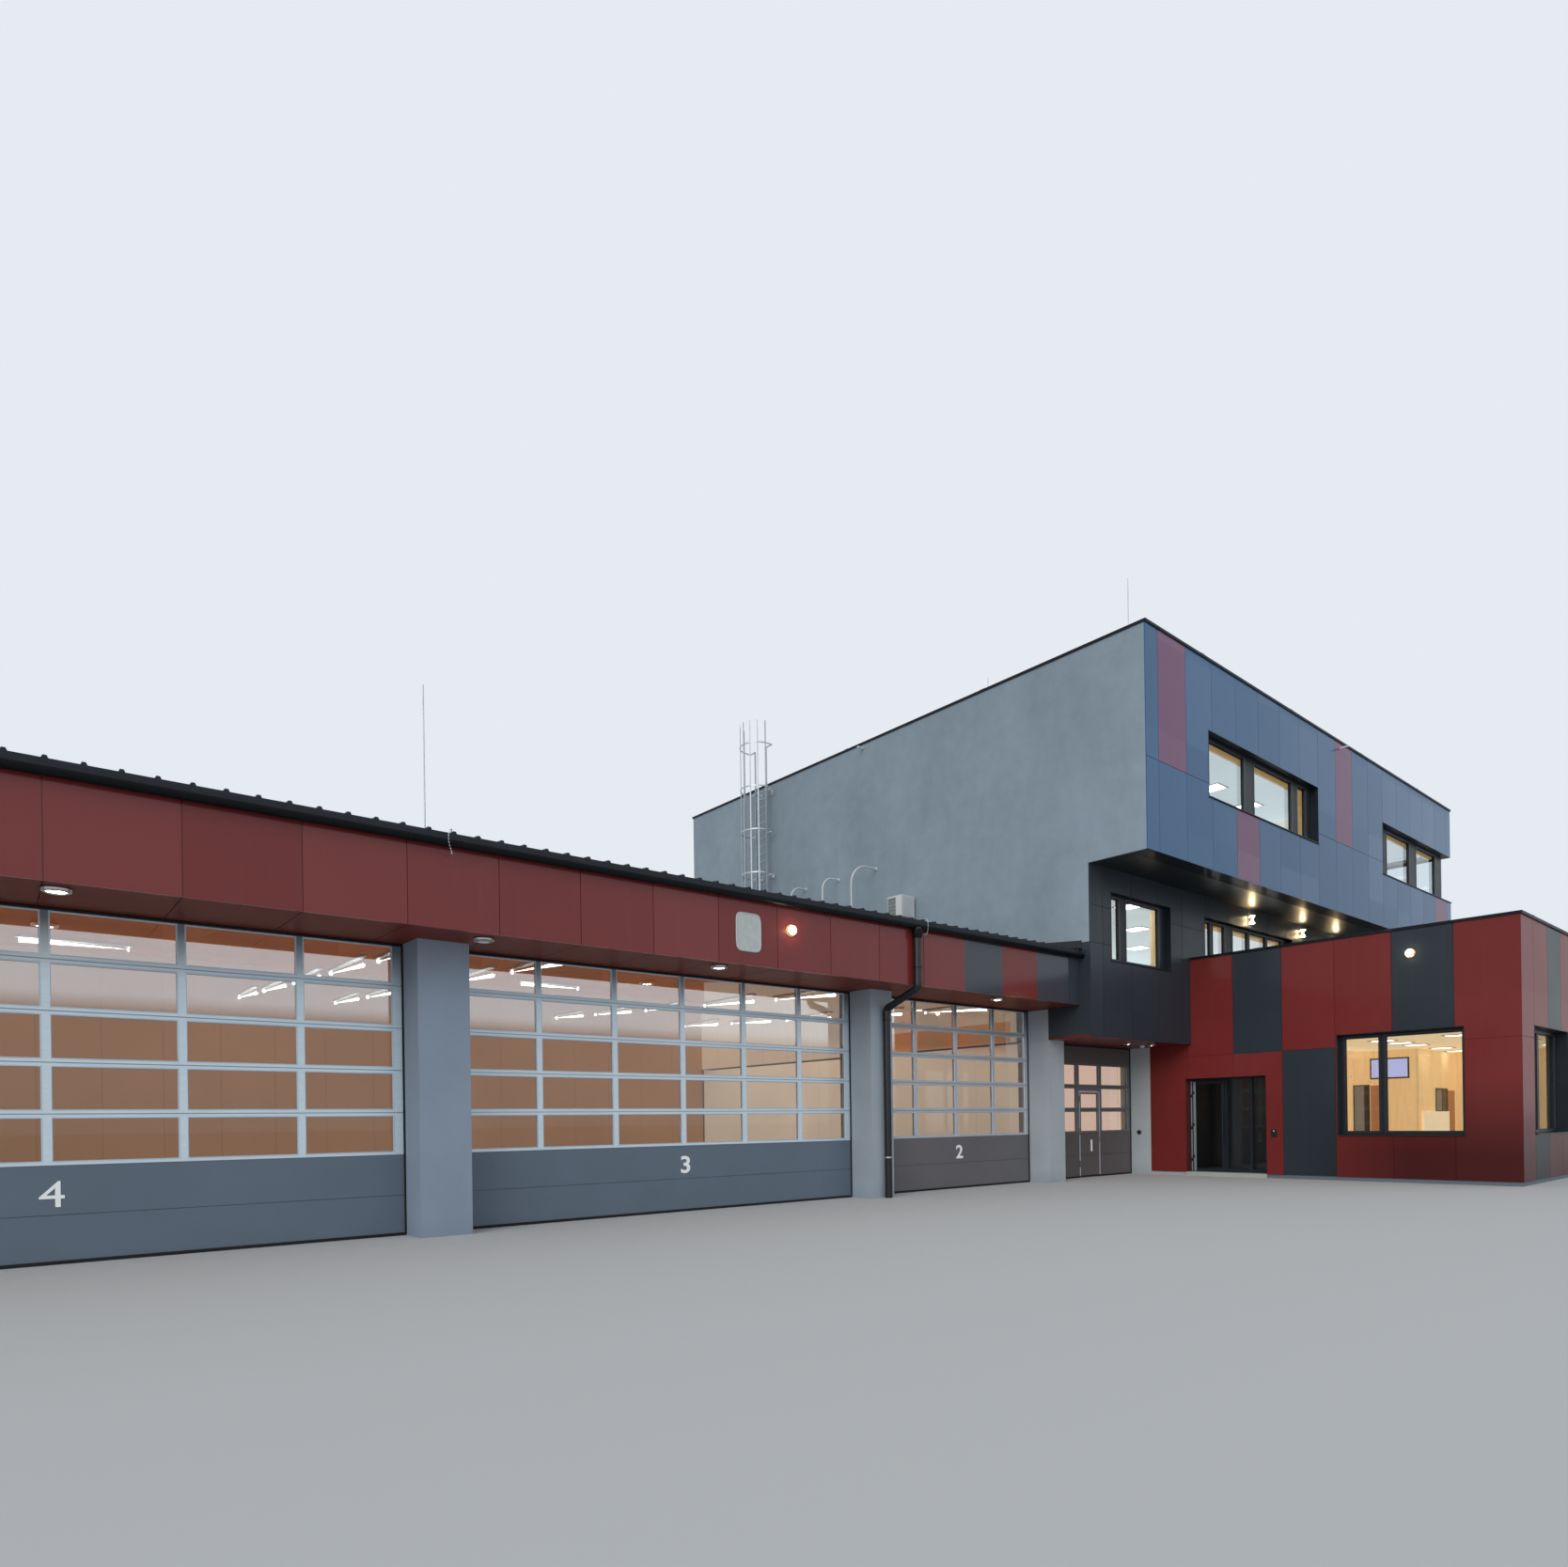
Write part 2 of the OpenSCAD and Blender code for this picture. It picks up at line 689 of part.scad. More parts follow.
return_z = 2820;
module lower_cladding() {
    color("darkslateblue") difference() {
        union() {
            sheet(0, tower_w, -lower_d, lower_z, upper_z, upper_joints, lower_joints_z);
            block([0, y_lower, lower_z + soffit_t], [clad_t, 0, return_z]);
        }
        for (w = [w5, w6])
            block([w[0], -lower_d - 1, w[2]], [w[0] + w[1], 0, w[2] + w[3]]);
        block([block_x, -lower_d - 1, lower_z - 1], [tower_w + 1, 0, block_roof_z]);
        block([block_x, -lower_d - 1, lower_z - 1], [x_block + wall_t, 0, block_top]);
        block([x_inner, -lower_d - 1, lower_z - 1], [tower_w + 1, 0, block_top]);
    }
}

module upper_cladding_red() {
    color("firebrick") difference() {
        for (p = red_panels)
            red_panel(p, 0);
        block([w1[0] - 3, -upper_d - 1, w1[2] - 3], [w1[0] + w1[1] + 3, 0, w1[2] + w1[3] + 3]);
        block([w2_x - 3, -upper_d - 1, w2_z - 3], [tower_w + 1, 0, w2_z + w2_h + 3]);
    }
}

/* Entry block */

entry_front = -entry_y - entry_w;
entry_top = office_z + entry_h;

module block_side_wall_front() {
    color("gray") difference() {
        block([x_block, y_block, 0], [x_block + wall_t, entry_front, block_top]);
        block([x_block - 1, w3[0], w3[2]], [x_block + wall_t + 1, w3[0] + w3[1], w3[2] + w3[3]]);
    }
}

module block_side_wall_head() {
    color("gray") along_x(x_block, x_block + wall_t)
        polygon([[entry_front, entry_top], [-entry_y, entry_top], [-entry_y, lower_z],
            [y_lower, lower_z], [y_lower, block_top], [entry_front, block_top]]);
}

module block_front_wall() {
    color("gray") difference() {
        block([x_block + wall_t, y_block, 0], [x_inner, y_block + wall_t, block_top]);
        for (x = w4_x)
            block([x, y_block - 1, w4[1]], [x + w4[0], y_block + wall_t + 1, w4[1] + w4[2]]);
    }
}

module block_right_wall() {
    color("gray") block([x_inner, y_block, 0], [tower_w - clad_t, y_lower, block_top]);
}

module block_roof() {
    color("dimgray") block([x_block + wall_t, y_block + wall_t, block_roof_z - floor_t],
        [x_inner, y_lower, block_roof_z]);
}

module block_coping() {
    color("black") difference() {
        block([block_x - coping_over, -block_d - coping_over, block_top],
            [tower_w + coping_over, -lower_d, block_h]);
        block([block_x + wall_t + coping_over, -block_d + wall_t + coping_over, block_top - 1],
            [tower_w - wall_t - coping_over, 0, block_h + 1]);
    }
}

function block_y(k) = -block_d + k * block_pitch;
function block_col(k) = w4_x[0] + (k - 1) * block_pitch;

module block_openings() {
    block([block_x - 1, entry_front, 0], [x_block + 1, -entry_y, entry_top]);
    block([block_x - 1, w3[0], w3[2]], [x_block + 1, w3[0] + w3[1], w3[2] + w3[3]]);
    for (x = w4_x)
        block([x, -block_d - 1, w4[1]], [x + w4[0], y_block + 1, w4[1] + w4[2]]);
    block([block_x - 1, -lower_d, lower_z], [x_block + 1, 0, block_h]);
}

clad_z = 45;
// Dark panels: the column from the near corner, the lower and the upper edge. Those of the left
// side come first, then those of the front.
side_dark = [[1, block_joint_z, block_top], [4, block_joint_z, block_top], [3, clad_z, block_joint_z]];
front_dark = [[2, block_joint_z, block_top], [1, clad_z, block_joint_z], [6, block_joint_z, block_top],
    [9, clad_z, block_joint_z], [11, block_joint_z, block_top]];
module block_dark(inset, deep) {
    for (p = side_dark)
        block([block_x - deep, block_y(p[0]) + inset, p[1] + inset],
            [x_block + deep, block_y(p[0] + 1) - inset, p[2] - inset]);
    for (p = front_dark)
        block([block_col(p[0]) + inset, -block_d - deep, p[1] + inset],
            [block_col(p[0] + 1) - inset, y_block + deep, p[2] - inset]);
}

module block_cladding_red() {
    color("firebrick") difference() {
        union() {
            block([block_x, -block_d, clad_z], [x_block, -pillar_out, block_top]);
            block([x_block, -block_d, clad_z], [tower_w, y_block, block_top]);
            block([tower_w - clad_t, y_block, clad_z], [tower_w, y_lower, block_top]);
        }
        block_openings();
        block_dark(0, 1);
        for (k = [1 : floor((block_d - pillar_out) / block_pitch)])
            block([block_x - 1, block_y(k) - joint_w / 2, clad_z - 1],
                [block_x + joint_d, block_y(k) + joint_w / 2, block_h]);
        for (k = [1 : floor((tower_w - block_col(0)) / block_pitch)])
            block([block_col(k) - joint_w / 2, -block_d - 1, clad_z - 1],
                [block_col(k) + joint_w / 2, -block_d + joint_d, block_h]);
        block([block_x - 1, -block_d - 1, block_joint_z - joint_w / 2],
            [block_x + joint_d, 0, block_joint_z + joint_w / 2]);
        block([block_x - 1, -block_d - 1, block_joint_z - joint_w / 2],
            [tower_w + 1, -block_d + joint_d, block_joint_z + joint_w / 2]);
    }
}

module block_cladding_dark() {
    color("darkslategray") difference() {
        block_dark(joint_w / 2, 0);
        block_openings();
    }
}

/* Windows and entrance */

module window_frames() {
    color("black") {
        translate([w1[0], -upper_d + upper_recess, w1[2]])
            window_frame(w1[1], w1[3], w1_lights, upper_recess);
        corner_window();
        translate([w5[0], -lower_d + lower_recess, w5[2]])
            window_frame(w5[1], w5[3], w5_lights, lower_recess);
        translate([w6[0], -lower_d + lower_recess, w6[2]])
            window_frame(w6[1], w6[3], w6_lights, lower_recess);
        translate([block_x + block_recess, w3[0] + w3[1], w3[2]]) rotate([0, 0, -90])
            window_frame(w3[1], w3[3], w3_lights, block_recess);
        for (x = w4_x)
            translate([x, -block_d + block_recess, w4[1]])
                window_frame(w4[0], w4[2], w4_lights, block_recess);
    }
}

// The corner window has a frame on each side and plates below and above that turn the corner
module corner_window() {
    y0 = -upper_d;
    y1 = y0 + upper_recess;
    x1 = tower_w - corner_recess;
    side = w2_side - clad_t - upper_recess - frame_t;
    translate([w2_x, y1, w2_z]) window_frame(x1 - w2_x, w2_h, w2_lights, 0);
    translate([x1, y_upper + w2_side - side, w2_z]) rotate([0, 0, 90])
        window_frame(side, w2_h, [[frame_w, side - frame_w]], 0);
    block([w2_x, y0 - 3, w2_z], [w2_x + lining_t, y1, w2_z + w2_h]);
    block([w2_x, y0 - sill_out, w2_z], [tower_w + 12, y1, w2_z + sill_t]);
    block([x1, y1, w2_z], [tower_w + 12, y_upper + w2_side, w2_z + sill_t]);
    block([w2_x, y0, w2_z + w2_h - lining_t], [tower_w, y1, w2_z + w2_h]);
    block([x1, y1, w2_z + w2_h - lining_t], [tower_w, y_upper + w2_side, w2_z + w2_h]);
}

module window_glass() {
    color("lightblue", 0.4) {
        y1 = -upper_d + upper_recess + frame_t;
        block([w1[0], y1, w1[2]], [w1[0] + w1[1], y1 + glass_t, w1[2] + w1[3]]);
        x2 = tower_w - corner_recess - frame_t;
        block([w2_x, y1, w2_z], [x2, y1 + glass_t, w2_z + w2_h]);
        block([x2 - glass_t, y1 + glass_t, w2_z], [x2, y_upper + w2_side, w2_z + w2_h]);
        y2 = -lower_d + lower_recess + frame_t;
        for (w = [w5, w6])
            block([w[0], y2, w[2]], [w[0] + w[1], y2 + glass_t, w[2] + w[3]]);
        x3 = block_x + block_recess + frame_t;
        block([x3, w3[0], w3[2]], [x3 + glass_t, w3[0] + w3[1], w3[2] + w3[3]]);
        y4 = -block_d + block_recess + frame_t;
        for (x = w4_x)
            block([x, y4, w4[1]], [x + w4[0], y4 + glass_t, w4[1] + w4[2]]);
        block([entry_x + frame_t, entry_front, office_z],
            [entry_x + frame_t + glass_t, post_y - post_w / 2, entry_top]);
    }
}

entry_x = block_x + entry_recess;
jamb = 25;
leaf_y1 = -entry_y - jamb - leaf_gap;
leaf_y0 = leaf_y1 - leaf_w;
leaf_z0 = office_z + leaf_gap;
leaf_z1 = entry_top - jamb - leaf_gap;
post_y = leaf_y0 - leaf_gap;
post_w = 30;
entry_axis = -entry_y - jamb - leaf_gap / 2;

// The fixed frame: jamb at the leaf, head, and two lights beyond the leaf
module entrance_frame() {
    color("black") {
        difference() {
            block([entry_x, entry_front, office_z], [entry_x + frame_t, -entry_y, entry_top]);
            block([entry_x - 1, post_y, office_z - 1],
                [entry_x + frame_t + 1, -entry_y - jamb, entry_top - jamb]);
            for (l = entry_lights)
                block([entry_x - 1, l[0], office_z + frame_w],
                    [entry_x + frame_t + 1, l[1], entry_top - jamb]);
        }
        translate([entry_x, 0, 0]) rotate([0, 0, -90]) for (z = hinge_z)
            hinge_fixed(-entry_axis, z + leaf_z0 - wicket_z, 0);
    }
}
side_light = post_y - post_w - (entry_front + jamb);
entry_lights = [[post_y - post_w - side_light * 0.55, post_y - post_w],
    [entry_front + jamb, post_y - 2 * post_w - side_light * 0.55]];

module entrance_step() {
    color("lightgray") block([block_x - 20, entry_front, 0], [x_block + wall_t, -entry_y, office_z]);
}

module entrance_leaf() {
    edge = 40;
    color("black") {
        difference() {
            block([entry_x, leaf_y0, leaf_z0], [entry_x + leaf_t, leaf_y1, leaf_z1]);
            block([entry_x - 1, leaf_y0 + edge, leaf_z0 + edge],
                [entry_x + leaf_t + 1, leaf_y1 - edge, leaf_z1 - edge]);
        }
        translate([entry_x, 0, 0]) rotate([0, 0, -90]) for (z = hinge_z)
            hinge_leaf(-entry_axis, z + leaf_z0 - wicket_z, 0);
    }
}

module entrance_leaf_glass() {
    inset = 30;
    color("lightblue", 0.4) block([entry_x + leaf_t, leaf_y0 + inset, leaf_z0 + inset],
        [entry_x + leaf_t + glass_t, leaf_y1 - inset, leaf_z1 - inset]);
}

module entrance_handle() {
    color("silver") translate([entry_x, leaf_y0 + 20, 0]) {
        for (z = [420, 880])
            translate([-25, 0, z]) rotate([0, 90, 0]) cylinder(r = 6, h = 25);
        translate([-25, 0, 380]) cylinder(r = 8, h = 540);
    }
}

/* Roof kit */

ladder_low = under_roof(ladder_y) + roof_t + rib_h + 40;
ladder_top = tower_h + 900;
rail_t = 12;
rail_d = 25;
module roof_ladder() {
    color("silver") {
        for (s = [-1, 1]) {
            y = ladder_y + s * ladder_w / 2 - rail_t / 2;
            block([-ladder_off - rail_d, y, ladder_low], [-ladder_off, y + rail_t, tower_h + 550]);
            for (z = [ladder_low + 150, (ladder_low + wall_top) / 2, wall_top - 150])
                block([-ladder_off, y, z], [0, y + rail_t, z + 30]);
        }
        for (z = [ladder_low + 80 : 125 : wall_top])
            translate([-ladder_off - rail_d / 2, ladder_y - ladder_w / 2, z]) rotate([-90, 0, 0])
                cylinder(r = 7, h = ladder_w);
    }
}

// Hoops round the ladder, open towards it, with upright straps between them
hoop_low = floor_2_z;
hoop_rest = 364;
hoops = 5;
hoop_pitch = (ladder_top - hoop_rest - hoop_low) / (hoops - 1);
strap_t = 6;
strap_w = 20;
cage_in = (ladder_w + rail_t) / 2;
module ladder_cage() color("silver") {
    mid = -ladder_off - rail_d - 60;
    for (i = [0 : hoops - 1])
        translate([mid, ladder_y, hoop_low + i * hoop_pitch]) {
            rotate([0, 0, 90]) rotate_extrude(angle = 180)
                translate([cage_r - strap_t, 0]) square([strap_t, strap_w]);
            for (s = [-1, 1]) {
                translate([0, s * (cage_r - strap_t / 2) - strap_t / 2, 0])
                    cube([60 + rail_d, strap_t, strap_w]);
                translate([60 + rail_d - strap_t, s > 0 ? cage_in : -cage_r, 0])
                    cube([strap_t, cage_r - cage_in, strap_w]);
            }
        }
    for (a = [100, 127, 153, 180, 207, 233, 260])
        translate([mid, ladder_y, hoop_low]) rotate([0, 0, a])
            translate([cage_r - 1.5 * strap_t, -strap_w / 2, 0])
                cube([strap_t, strap_w, ladder_top - hoop_low]);
}

// Outdoor unit of the air conditioning on two brackets at the tower's left wall
unit = [257, 260, 290];
unit_y = 1780;
unit_z = 3537;
unit_off = 40;
module outdoor_unit() {
    color("whitesmoke") {
        block([-unit_off - unit[0], unit_y, unit_z], [-unit_off, unit_y + unit[1], unit_z + unit[2]]);
        for (y = [unit_y + 30, unit_y + unit[1] - 50])
            block([-unit_off - unit[0], y, unit_z - 30], [0, y + 20, unit_z]);
    }
}

// Bent pipes from the tower's left wall down to the hall roof: place, reach and bend radius
necks = [[2530, 505, 300], [3310, 330, 200], [4040, 310, 180]];
neck_z = 4370;
neck_r = 12;
spout_r = 14;
spout_l = 110;
module wall_pipes() {
    color("whitesmoke") {
        for (n = necks) {
            down = neck_z - n[2];
            foot = roof_base(n[0] + neck_r) + roof_t / cos(roof_slope) + seat;
            translate([n[2] - n[1], n[0], neck_z]) rotate([0, 90, 0]) cylinder(r = neck_r, h = n[1] - n[2]);
            translate([n[2] - n[1], n[0], down]) rotate([90, 0, 0]) rotate([0, 0, 90])
                rotate_extrude(angle = 90) translate([n[2], 0]) circle(r = neck_r);
            translate([-n[1], n[0], foot]) cylinder(r = neck_r, h = down - foot);
            translate([-8, n[0], neck_z]) rotate([0, 90, 0]) cylinder(r = 2 * neck_r, h = 8);
        }
        translate([-spout_l, back_y - 4285, wall_top - 60]) rotate([0, 90, 0])
            cylinder(r = spout_r, h = spout_l);
        translate([tower_w - 5080, -upper_d, wall_top - 80]) rotate([90, 0, 0])
            cylinder(r = spout_r, h = spout_l);
    }
}

// Lightning rods: place, foot and top
rod_r = 5;
rods = [[100, -1356, tower_h, 6836], [100, 598, tower_h, 6415],
    [-44 * rib_pitch, 0, roof_base(5 * rod_r) + roof_t / cos(roof_slope), 4019]];
module lightning_rods() {
    color("silver") for (p = rods) translate([p[0], p[1], p[2] + seat]) {
        cylinder(r = rod_r, h = p[3] - p[2]);
        cylinder(r = 5 * rod_r, h = 20);
    }
}

// Moves the building's middle to the origin
roof_end = 30;
mid_x = (x_end + tower_w + coping_over) / 2;
mid_y = (back_y + roof_end - block_d - coping_over) / 2;
module place() {
    translate([-mid_x, -mid_y, 0]) children();
}

place() hall_floor();
place() hall_left_wall();
place() hall_back_wall();
place() pillar(x_end, end_pillar_w, head_z);  // end_pillar
place() pillar(x_pillar_a, pillar_a_w, head_z);  // pillar_a
place() pillar(x_pillar_b, pillar_b_w, head_z);  // pillar_b
place() pillar(0, pillar_c_w, lower_z);  // pillar_c
place() pillar_d();
place() door_header();
place() canopy();
place() fascia_red();
place() fascia_dark();
place() hall_roof();
place() gutter();
place() downpipe();
place() bay_door(x_door_4, wide_door_w, 6);  // bay_door_4
place() bay_door(x_door_3, wide_door_w, 6);  // bay_door_3
place() bay_door(x_door_2, mid_door_w, 4);  // bay_door_2
place() bay_door_1_sides();
place() bay_door_1_head();
place() bay_door_glass();
place() roof_beams();
place() wicket_leaf();
place() wicket_glass();
place() wicket_handle();
place() office_floor();
place() tower_left_wall();
place() tower_right_wall();
place() tower_back_wall();
place() lower_front_wall();
place() upper_front_wall();
place() first_floor();
place() second_floor();
place() tower_roof();
place() tower_coping();
place() upper_soffit();
place() lower_soffit();
place() upper_cladding_dark();
place() upper_cladding_red();
place() lower_cladding();
place() block_side_wall_front();
place() block_side_wall_head();
place() block_front_wall();
place() block_right_wall();
place() block_roof();
place() block_coping();
place() block_cladding_red();
place() block_cladding_dark();
place() window_frames();
place() window_glass();
place() entrance_frame();
place() entrance_step();
place() entrance_leaf();
place() entrance_leaf_glass();
place() entrance_handle();
place() roof_ladder();
place() ladder_cage();
place() outdoor_unit();
place() wall_pipes();
place() lightning_rods();
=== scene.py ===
"""Fire station building at half size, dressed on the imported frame. All lengths are in metres.

The hall, tower and entry block come from the frame. This file gives them their finishes and adds
the small pieces: door beads and seals, numbers, lamps, sashes, roof fittings, and the lit rooms
behind the glass. Places are counted from the tower's left front corner, in the plane of the bay
doors, as the drawing of the building counts them.
"""
import bmesh
import bpy
import numpy as np
from mathutils import Matrix


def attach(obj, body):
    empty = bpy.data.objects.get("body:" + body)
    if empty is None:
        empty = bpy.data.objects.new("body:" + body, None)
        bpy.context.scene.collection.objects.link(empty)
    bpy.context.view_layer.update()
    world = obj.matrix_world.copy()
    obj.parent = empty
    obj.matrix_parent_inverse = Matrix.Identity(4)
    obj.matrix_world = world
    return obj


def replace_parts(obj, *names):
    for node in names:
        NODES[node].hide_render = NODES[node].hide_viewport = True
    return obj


bl_info = {
    "name": "Fire Station Building",
    "version": (1, 0, 0),
    "blender": (4, 5, 0),
    "location": "View3D > Sidebar > Fire Station",
    "description": "Finishes and small pieces for a fire station building",
    "category": "Object",
}

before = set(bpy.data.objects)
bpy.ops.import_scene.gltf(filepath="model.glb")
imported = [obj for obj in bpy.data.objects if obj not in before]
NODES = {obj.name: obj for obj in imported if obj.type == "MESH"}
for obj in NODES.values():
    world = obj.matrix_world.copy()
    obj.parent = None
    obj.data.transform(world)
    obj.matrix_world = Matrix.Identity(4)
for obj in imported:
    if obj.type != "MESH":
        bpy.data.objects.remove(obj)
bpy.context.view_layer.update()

# The tower's left front corner in the frame
CORNER = np.array((0.755, -1.3275, 0.0))

# Wide bay doors: left edge, width and number of pane columns; then what all of them share
WIDE_DOORS = [(-11.6, 4.1, 6), (-7.13, 4.1, 6), (-2.72, 2.72, 4)]
DOOR_ROWS = 5
DOOR_TOP = 2.095
GLASS_LOW = 0.58
PANE = 0.303
BAR = 0.042
STILE = 0.075

# Small bay door: left edge, width and top, and the height where its glazed rows end
SMALL_DOOR = (0.317, 2.03, 1.72)
SMALL_GLASS_TOP = 1.489

# Hall roof: underside at the canopy's front, and its rise per metre
EAVE = 2.68
RISE = np.tan(np.radians(5.0))
CANOPY = 0.732

# Left face of the entry block, and the downpipe's place at the pillar and at the gutter
BLOCK_LEFT = 2.347
PIPE = (-2.85, -0.3485)
OUTLET = (-2.85, -0.776)

# Cladding grids: panel width, first joint and axis
FASCIA_GRID = (0.625, CORNER[0] - 0.209)
TOWER_GRID = (0.629, CORNER[0] + 0.265)
BLOCK_GRID = (0.595, CORNER[1] - 4.405, "Y")

# Width of a board sheet in the rooms, and colours that several finishes share
SHEET = 0.62
FRAME_PAINT = (0.0145, 0.02, 0.026)
SMALL_BAR = (0.2, 0.205, 0.22)


def roof_under(y):
    """Height of the hall roof's underside at the distance y behind the doors."""
    return EAVE + (np.asarray(y) + CANOPY) * RISE


# ---------------------------------------------------------------- settings

def colour(name, rgb):
    """A colour setting with its default."""
    return bpy.props.FloatVectorProperty(
        name=name, description=f"{name} of the building", subtype="COLOR", size=3,
        min=0.0, max=1.0, default=rgb)


def length(name, text, metres, low=0.001, high=10.0):
    """A length setting with its default."""
    return bpy.props.FloatProperty(
        name=name, description=text, default=metres, min=low, max=high, unit="LENGTH")


class StationColours(bpy.types.PropertyGroup):
    """The colours that a user would change."""
    red: colour("Red panel", (0.208, 0.026, 0.024))
    dark: colour("Dark panel", (0.031, 0.041, 0.052))
    # The upper panels' blue is partly their own colour and partly a painted reflection of the sky
    upper: colour("Upper panel", (0.03, 0.12, 0.26))
    upper_red: colour("Upper red panel", (0.195, 0.07, 0.16))
    render: colour("Wall render", (0.295, 0.365, 0.42))
    # The pillar's blue tint is partly its own colour and partly painted skylight
    pillar: colour("Pillar concrete", (0.29, 0.355, 0.44))
    section: colour("Closed door section", (0.132, 0.175, 0.228))
    bar: colour("Door bar", (0.73, 0.86, 0.99))
    trim: colour("Coping, gutter and frames", (0.0065, 0.008, 0.0105))
    timber: colour("Timber", (0.37, 0.12, 0.032))
    ply: colour("Room panelling", (0.78, 0.52, 0.25))
    wall: colour("Hall wall", (0.415, 0.24, 0.135))
    lamplight: colour("Lamplight", (1.0, 0.74, 0.4))


class StationSizes(bpy.types.PropertyGroup):
    """The sizes that a user would change."""
    lamp_radius: length("Lamp radius", "Radius of a round lamp under the canopy", 0.07)
    number_height: length("Number height", "Height of the numbers on the bay doors", 0.152)
    bead: length("Glazing bead", "Width of the bead round a door pane", 0.007, 0.002, 0.02)
    sash: length("Sash", "Width of the sash round a window light", 0.024, 0.005, 0.06)
    tube: length("Lamp tube", "Length of a lamp tube in the hall", 0.98, 0.3, 2.0)
    gutter_piece: length("Gutter piece", "Distance from gutter joint to joint", 1.25, 0.1, 4.0)


# ---------------------------------------------------------------- shader maths

def operation(name, swapped=False):
    """A method that adds one Math node on the value and the others, or on both swapped round."""
    def method(self, *others):
        values = (*others, self) if swapped else (self, *others)
        return self.tree.value_of(name, *values)
    return method


class Val:
    """A socket on which Python's arithmetic adds Math nodes."""

    def __init__(self, tree, socket):
        self.tree, self.socket = tree, socket

    __add__ = __radd__ = operation("ADD")
    __mul__ = __rmul__ = operation("MULTIPLY")
    __sub__, __rsub__ = operation("SUBTRACT"), operation("SUBTRACT", swapped=True)
    __truediv__ = operation("DIVIDE")
    __gt__, __lt__ = operation("GREATER_THAN"), operation("LESS_THAN")
    floor, fraction, size = operation("FLOOR"), operation("FRACT"), operation("ABSOLUTE")

    def clamp(self):
        """The value held between 0 and 1."""
        return self.tree.node("Clamp", {}, {"Value": self})

    def rise(self, start, gain):
        """How far the value lies above a start, times a gain, held between 0 and 1."""
        return ((self - start) * gain).clamp()

    def fall(self, start, gain):
        """How far the value lies below a start, times a gain, held between 0 and 1."""
        return ((start - self) * gain).clamp()


class Finish:
    """A material under construction: one principled shader and whatever feeds it."""

    def __init__(self, name, **sockets):
        self.material = bpy.data.materials.new(name)
        self.material.use_nodes = True
        self.nodes = self.material.node_tree.nodes
        self.links = self.material.node_tree.links
        self.nodes.clear()
        self.shader = self.nodes.new("ShaderNodeBsdfPrincipled")
        out = self.nodes.new("ShaderNodeOutputMaterial")
        self.links.new(self.shader.outputs[0], out.inputs["Surface"])
        coords = self.nodes.new("ShaderNodeTexCoord")
        self.place = Val(self, coords.outputs["Object"])
        self.set(**sockets)

    def node(self, kind, settings, values, output=0):
        """A node of any kind: its settings come first, then what its sockets hold."""
        made = self.nodes.new("ShaderNode" + kind)
        for key, value in settings.items():
            if key == "stops":
                ramp = made.color_ramp
                for i, (at, rgb) in enumerate(value):
                    stop = ramp.elements[i] if i < 2 else ramp.elements.new(at)
                    stop.position, stop.color = at, (*rgb, 1.0)
            else:
                setattr(made, key, value)
        for key, value in values.items():
            if isinstance(value, Val):
                self.links.new(value.socket, made.inputs[key])
            else:
                made.inputs[key].default_value = value
        return Val(self, made.outputs[output])

    def value_of(self, operation, *values):
        """One Math node."""
        return self.node("Math", {"operation": operation}, dict(enumerate(values)))

    def set(self, **sockets):
        """Puts values or links on the shader's sockets, such as Base_Color or Roughness."""
        for key, value in sockets.items():
            socket = self.shader.inputs[key.replace("_", " ")]
            if isinstance(value, Val):
                self.links.new(value.socket, socket)
            else:
                socket.default_value = value

    def axis(self, name):
        """One coordinate of the point, in metres."""
        return self.node("SeparateXYZ", {}, {0: self.place}, "XYZ".index(name))

    def stretched(self, scale):
        """The point with its coordinates multiplied, so that a pattern is drawn out."""
        return self.node("VectorMath", {"operation": "MULTIPLY"}, {0: self.place, 1: scale})

    def noise(self, scale, detail=3.0, rough=0.55, at=None):
        """Cloudy noise between 0 and 1."""
        return self.node("TexNoise", {}, {"Vector": at or self.place, "Scale": scale,
                                          "Detail": detail, "Roughness": rough})

    def cell(self, x, y):
        """A random number for each pair of whole numbers."""
        at = self.node("CombineXYZ", {}, {0: x, 1: y, 2: 3.0})
        return self.node("TexWhiteNoise", {"noise_dimensions": "3D"}, {"Vector": at})

    def line(self, along, pitch, first, width):
        """1 on thin lines a pitch apart along a coordinate, and 0 between them."""
        away = (((along - first) / pitch + 0.5).fraction() - 0.5).size() * pitch
        return away < width / 2

    def mix(self, factor, low, high):
        """Blends two colours."""
        def rgba(c):
            return c if isinstance(c, Val) else (*c, 1.0)
        return self.node("Mix", {"data_type": "RGBA"}, {0: factor, 6: rgba(low), 7: rgba(high)}, 2)

    def spots(self, scale):
        """Distance to the nearest of many scattered points."""
        return self.node("TexVoronoi", {"feature": "F1"}, {"Vector": self.place, "Scale": scale})

    def tones(self, factor, rgb, low, high):
        """One colour between its darker and its lighter shade."""
        return self.mix(factor, shade(rgb, low), shade(rgb, high))

    def done(self, base, relief=None, **sockets):
        """Sets the base colour, the relief (height, strength and distance of a bump) and the other
        sockets, and gives the material."""
        if relief:
            names = ("Height", "Strength", "Distance")
            sockets["Normal"] = self.node("Bump", {}, dict(zip(names, relief)))
        self.set(Base_Color=base, **sockets)
        return self.material


def shade(rgb, factor):
    """A colour made darker or lighter."""
    return tuple(min(1.0, c * factor) for c in rgb)


def dusted(rgb, share, grey):
    """A colour's share with grey dust over it."""
    return tuple(share * c + grey for c in rgb)


# ---------------------------------------------------------------- finishes

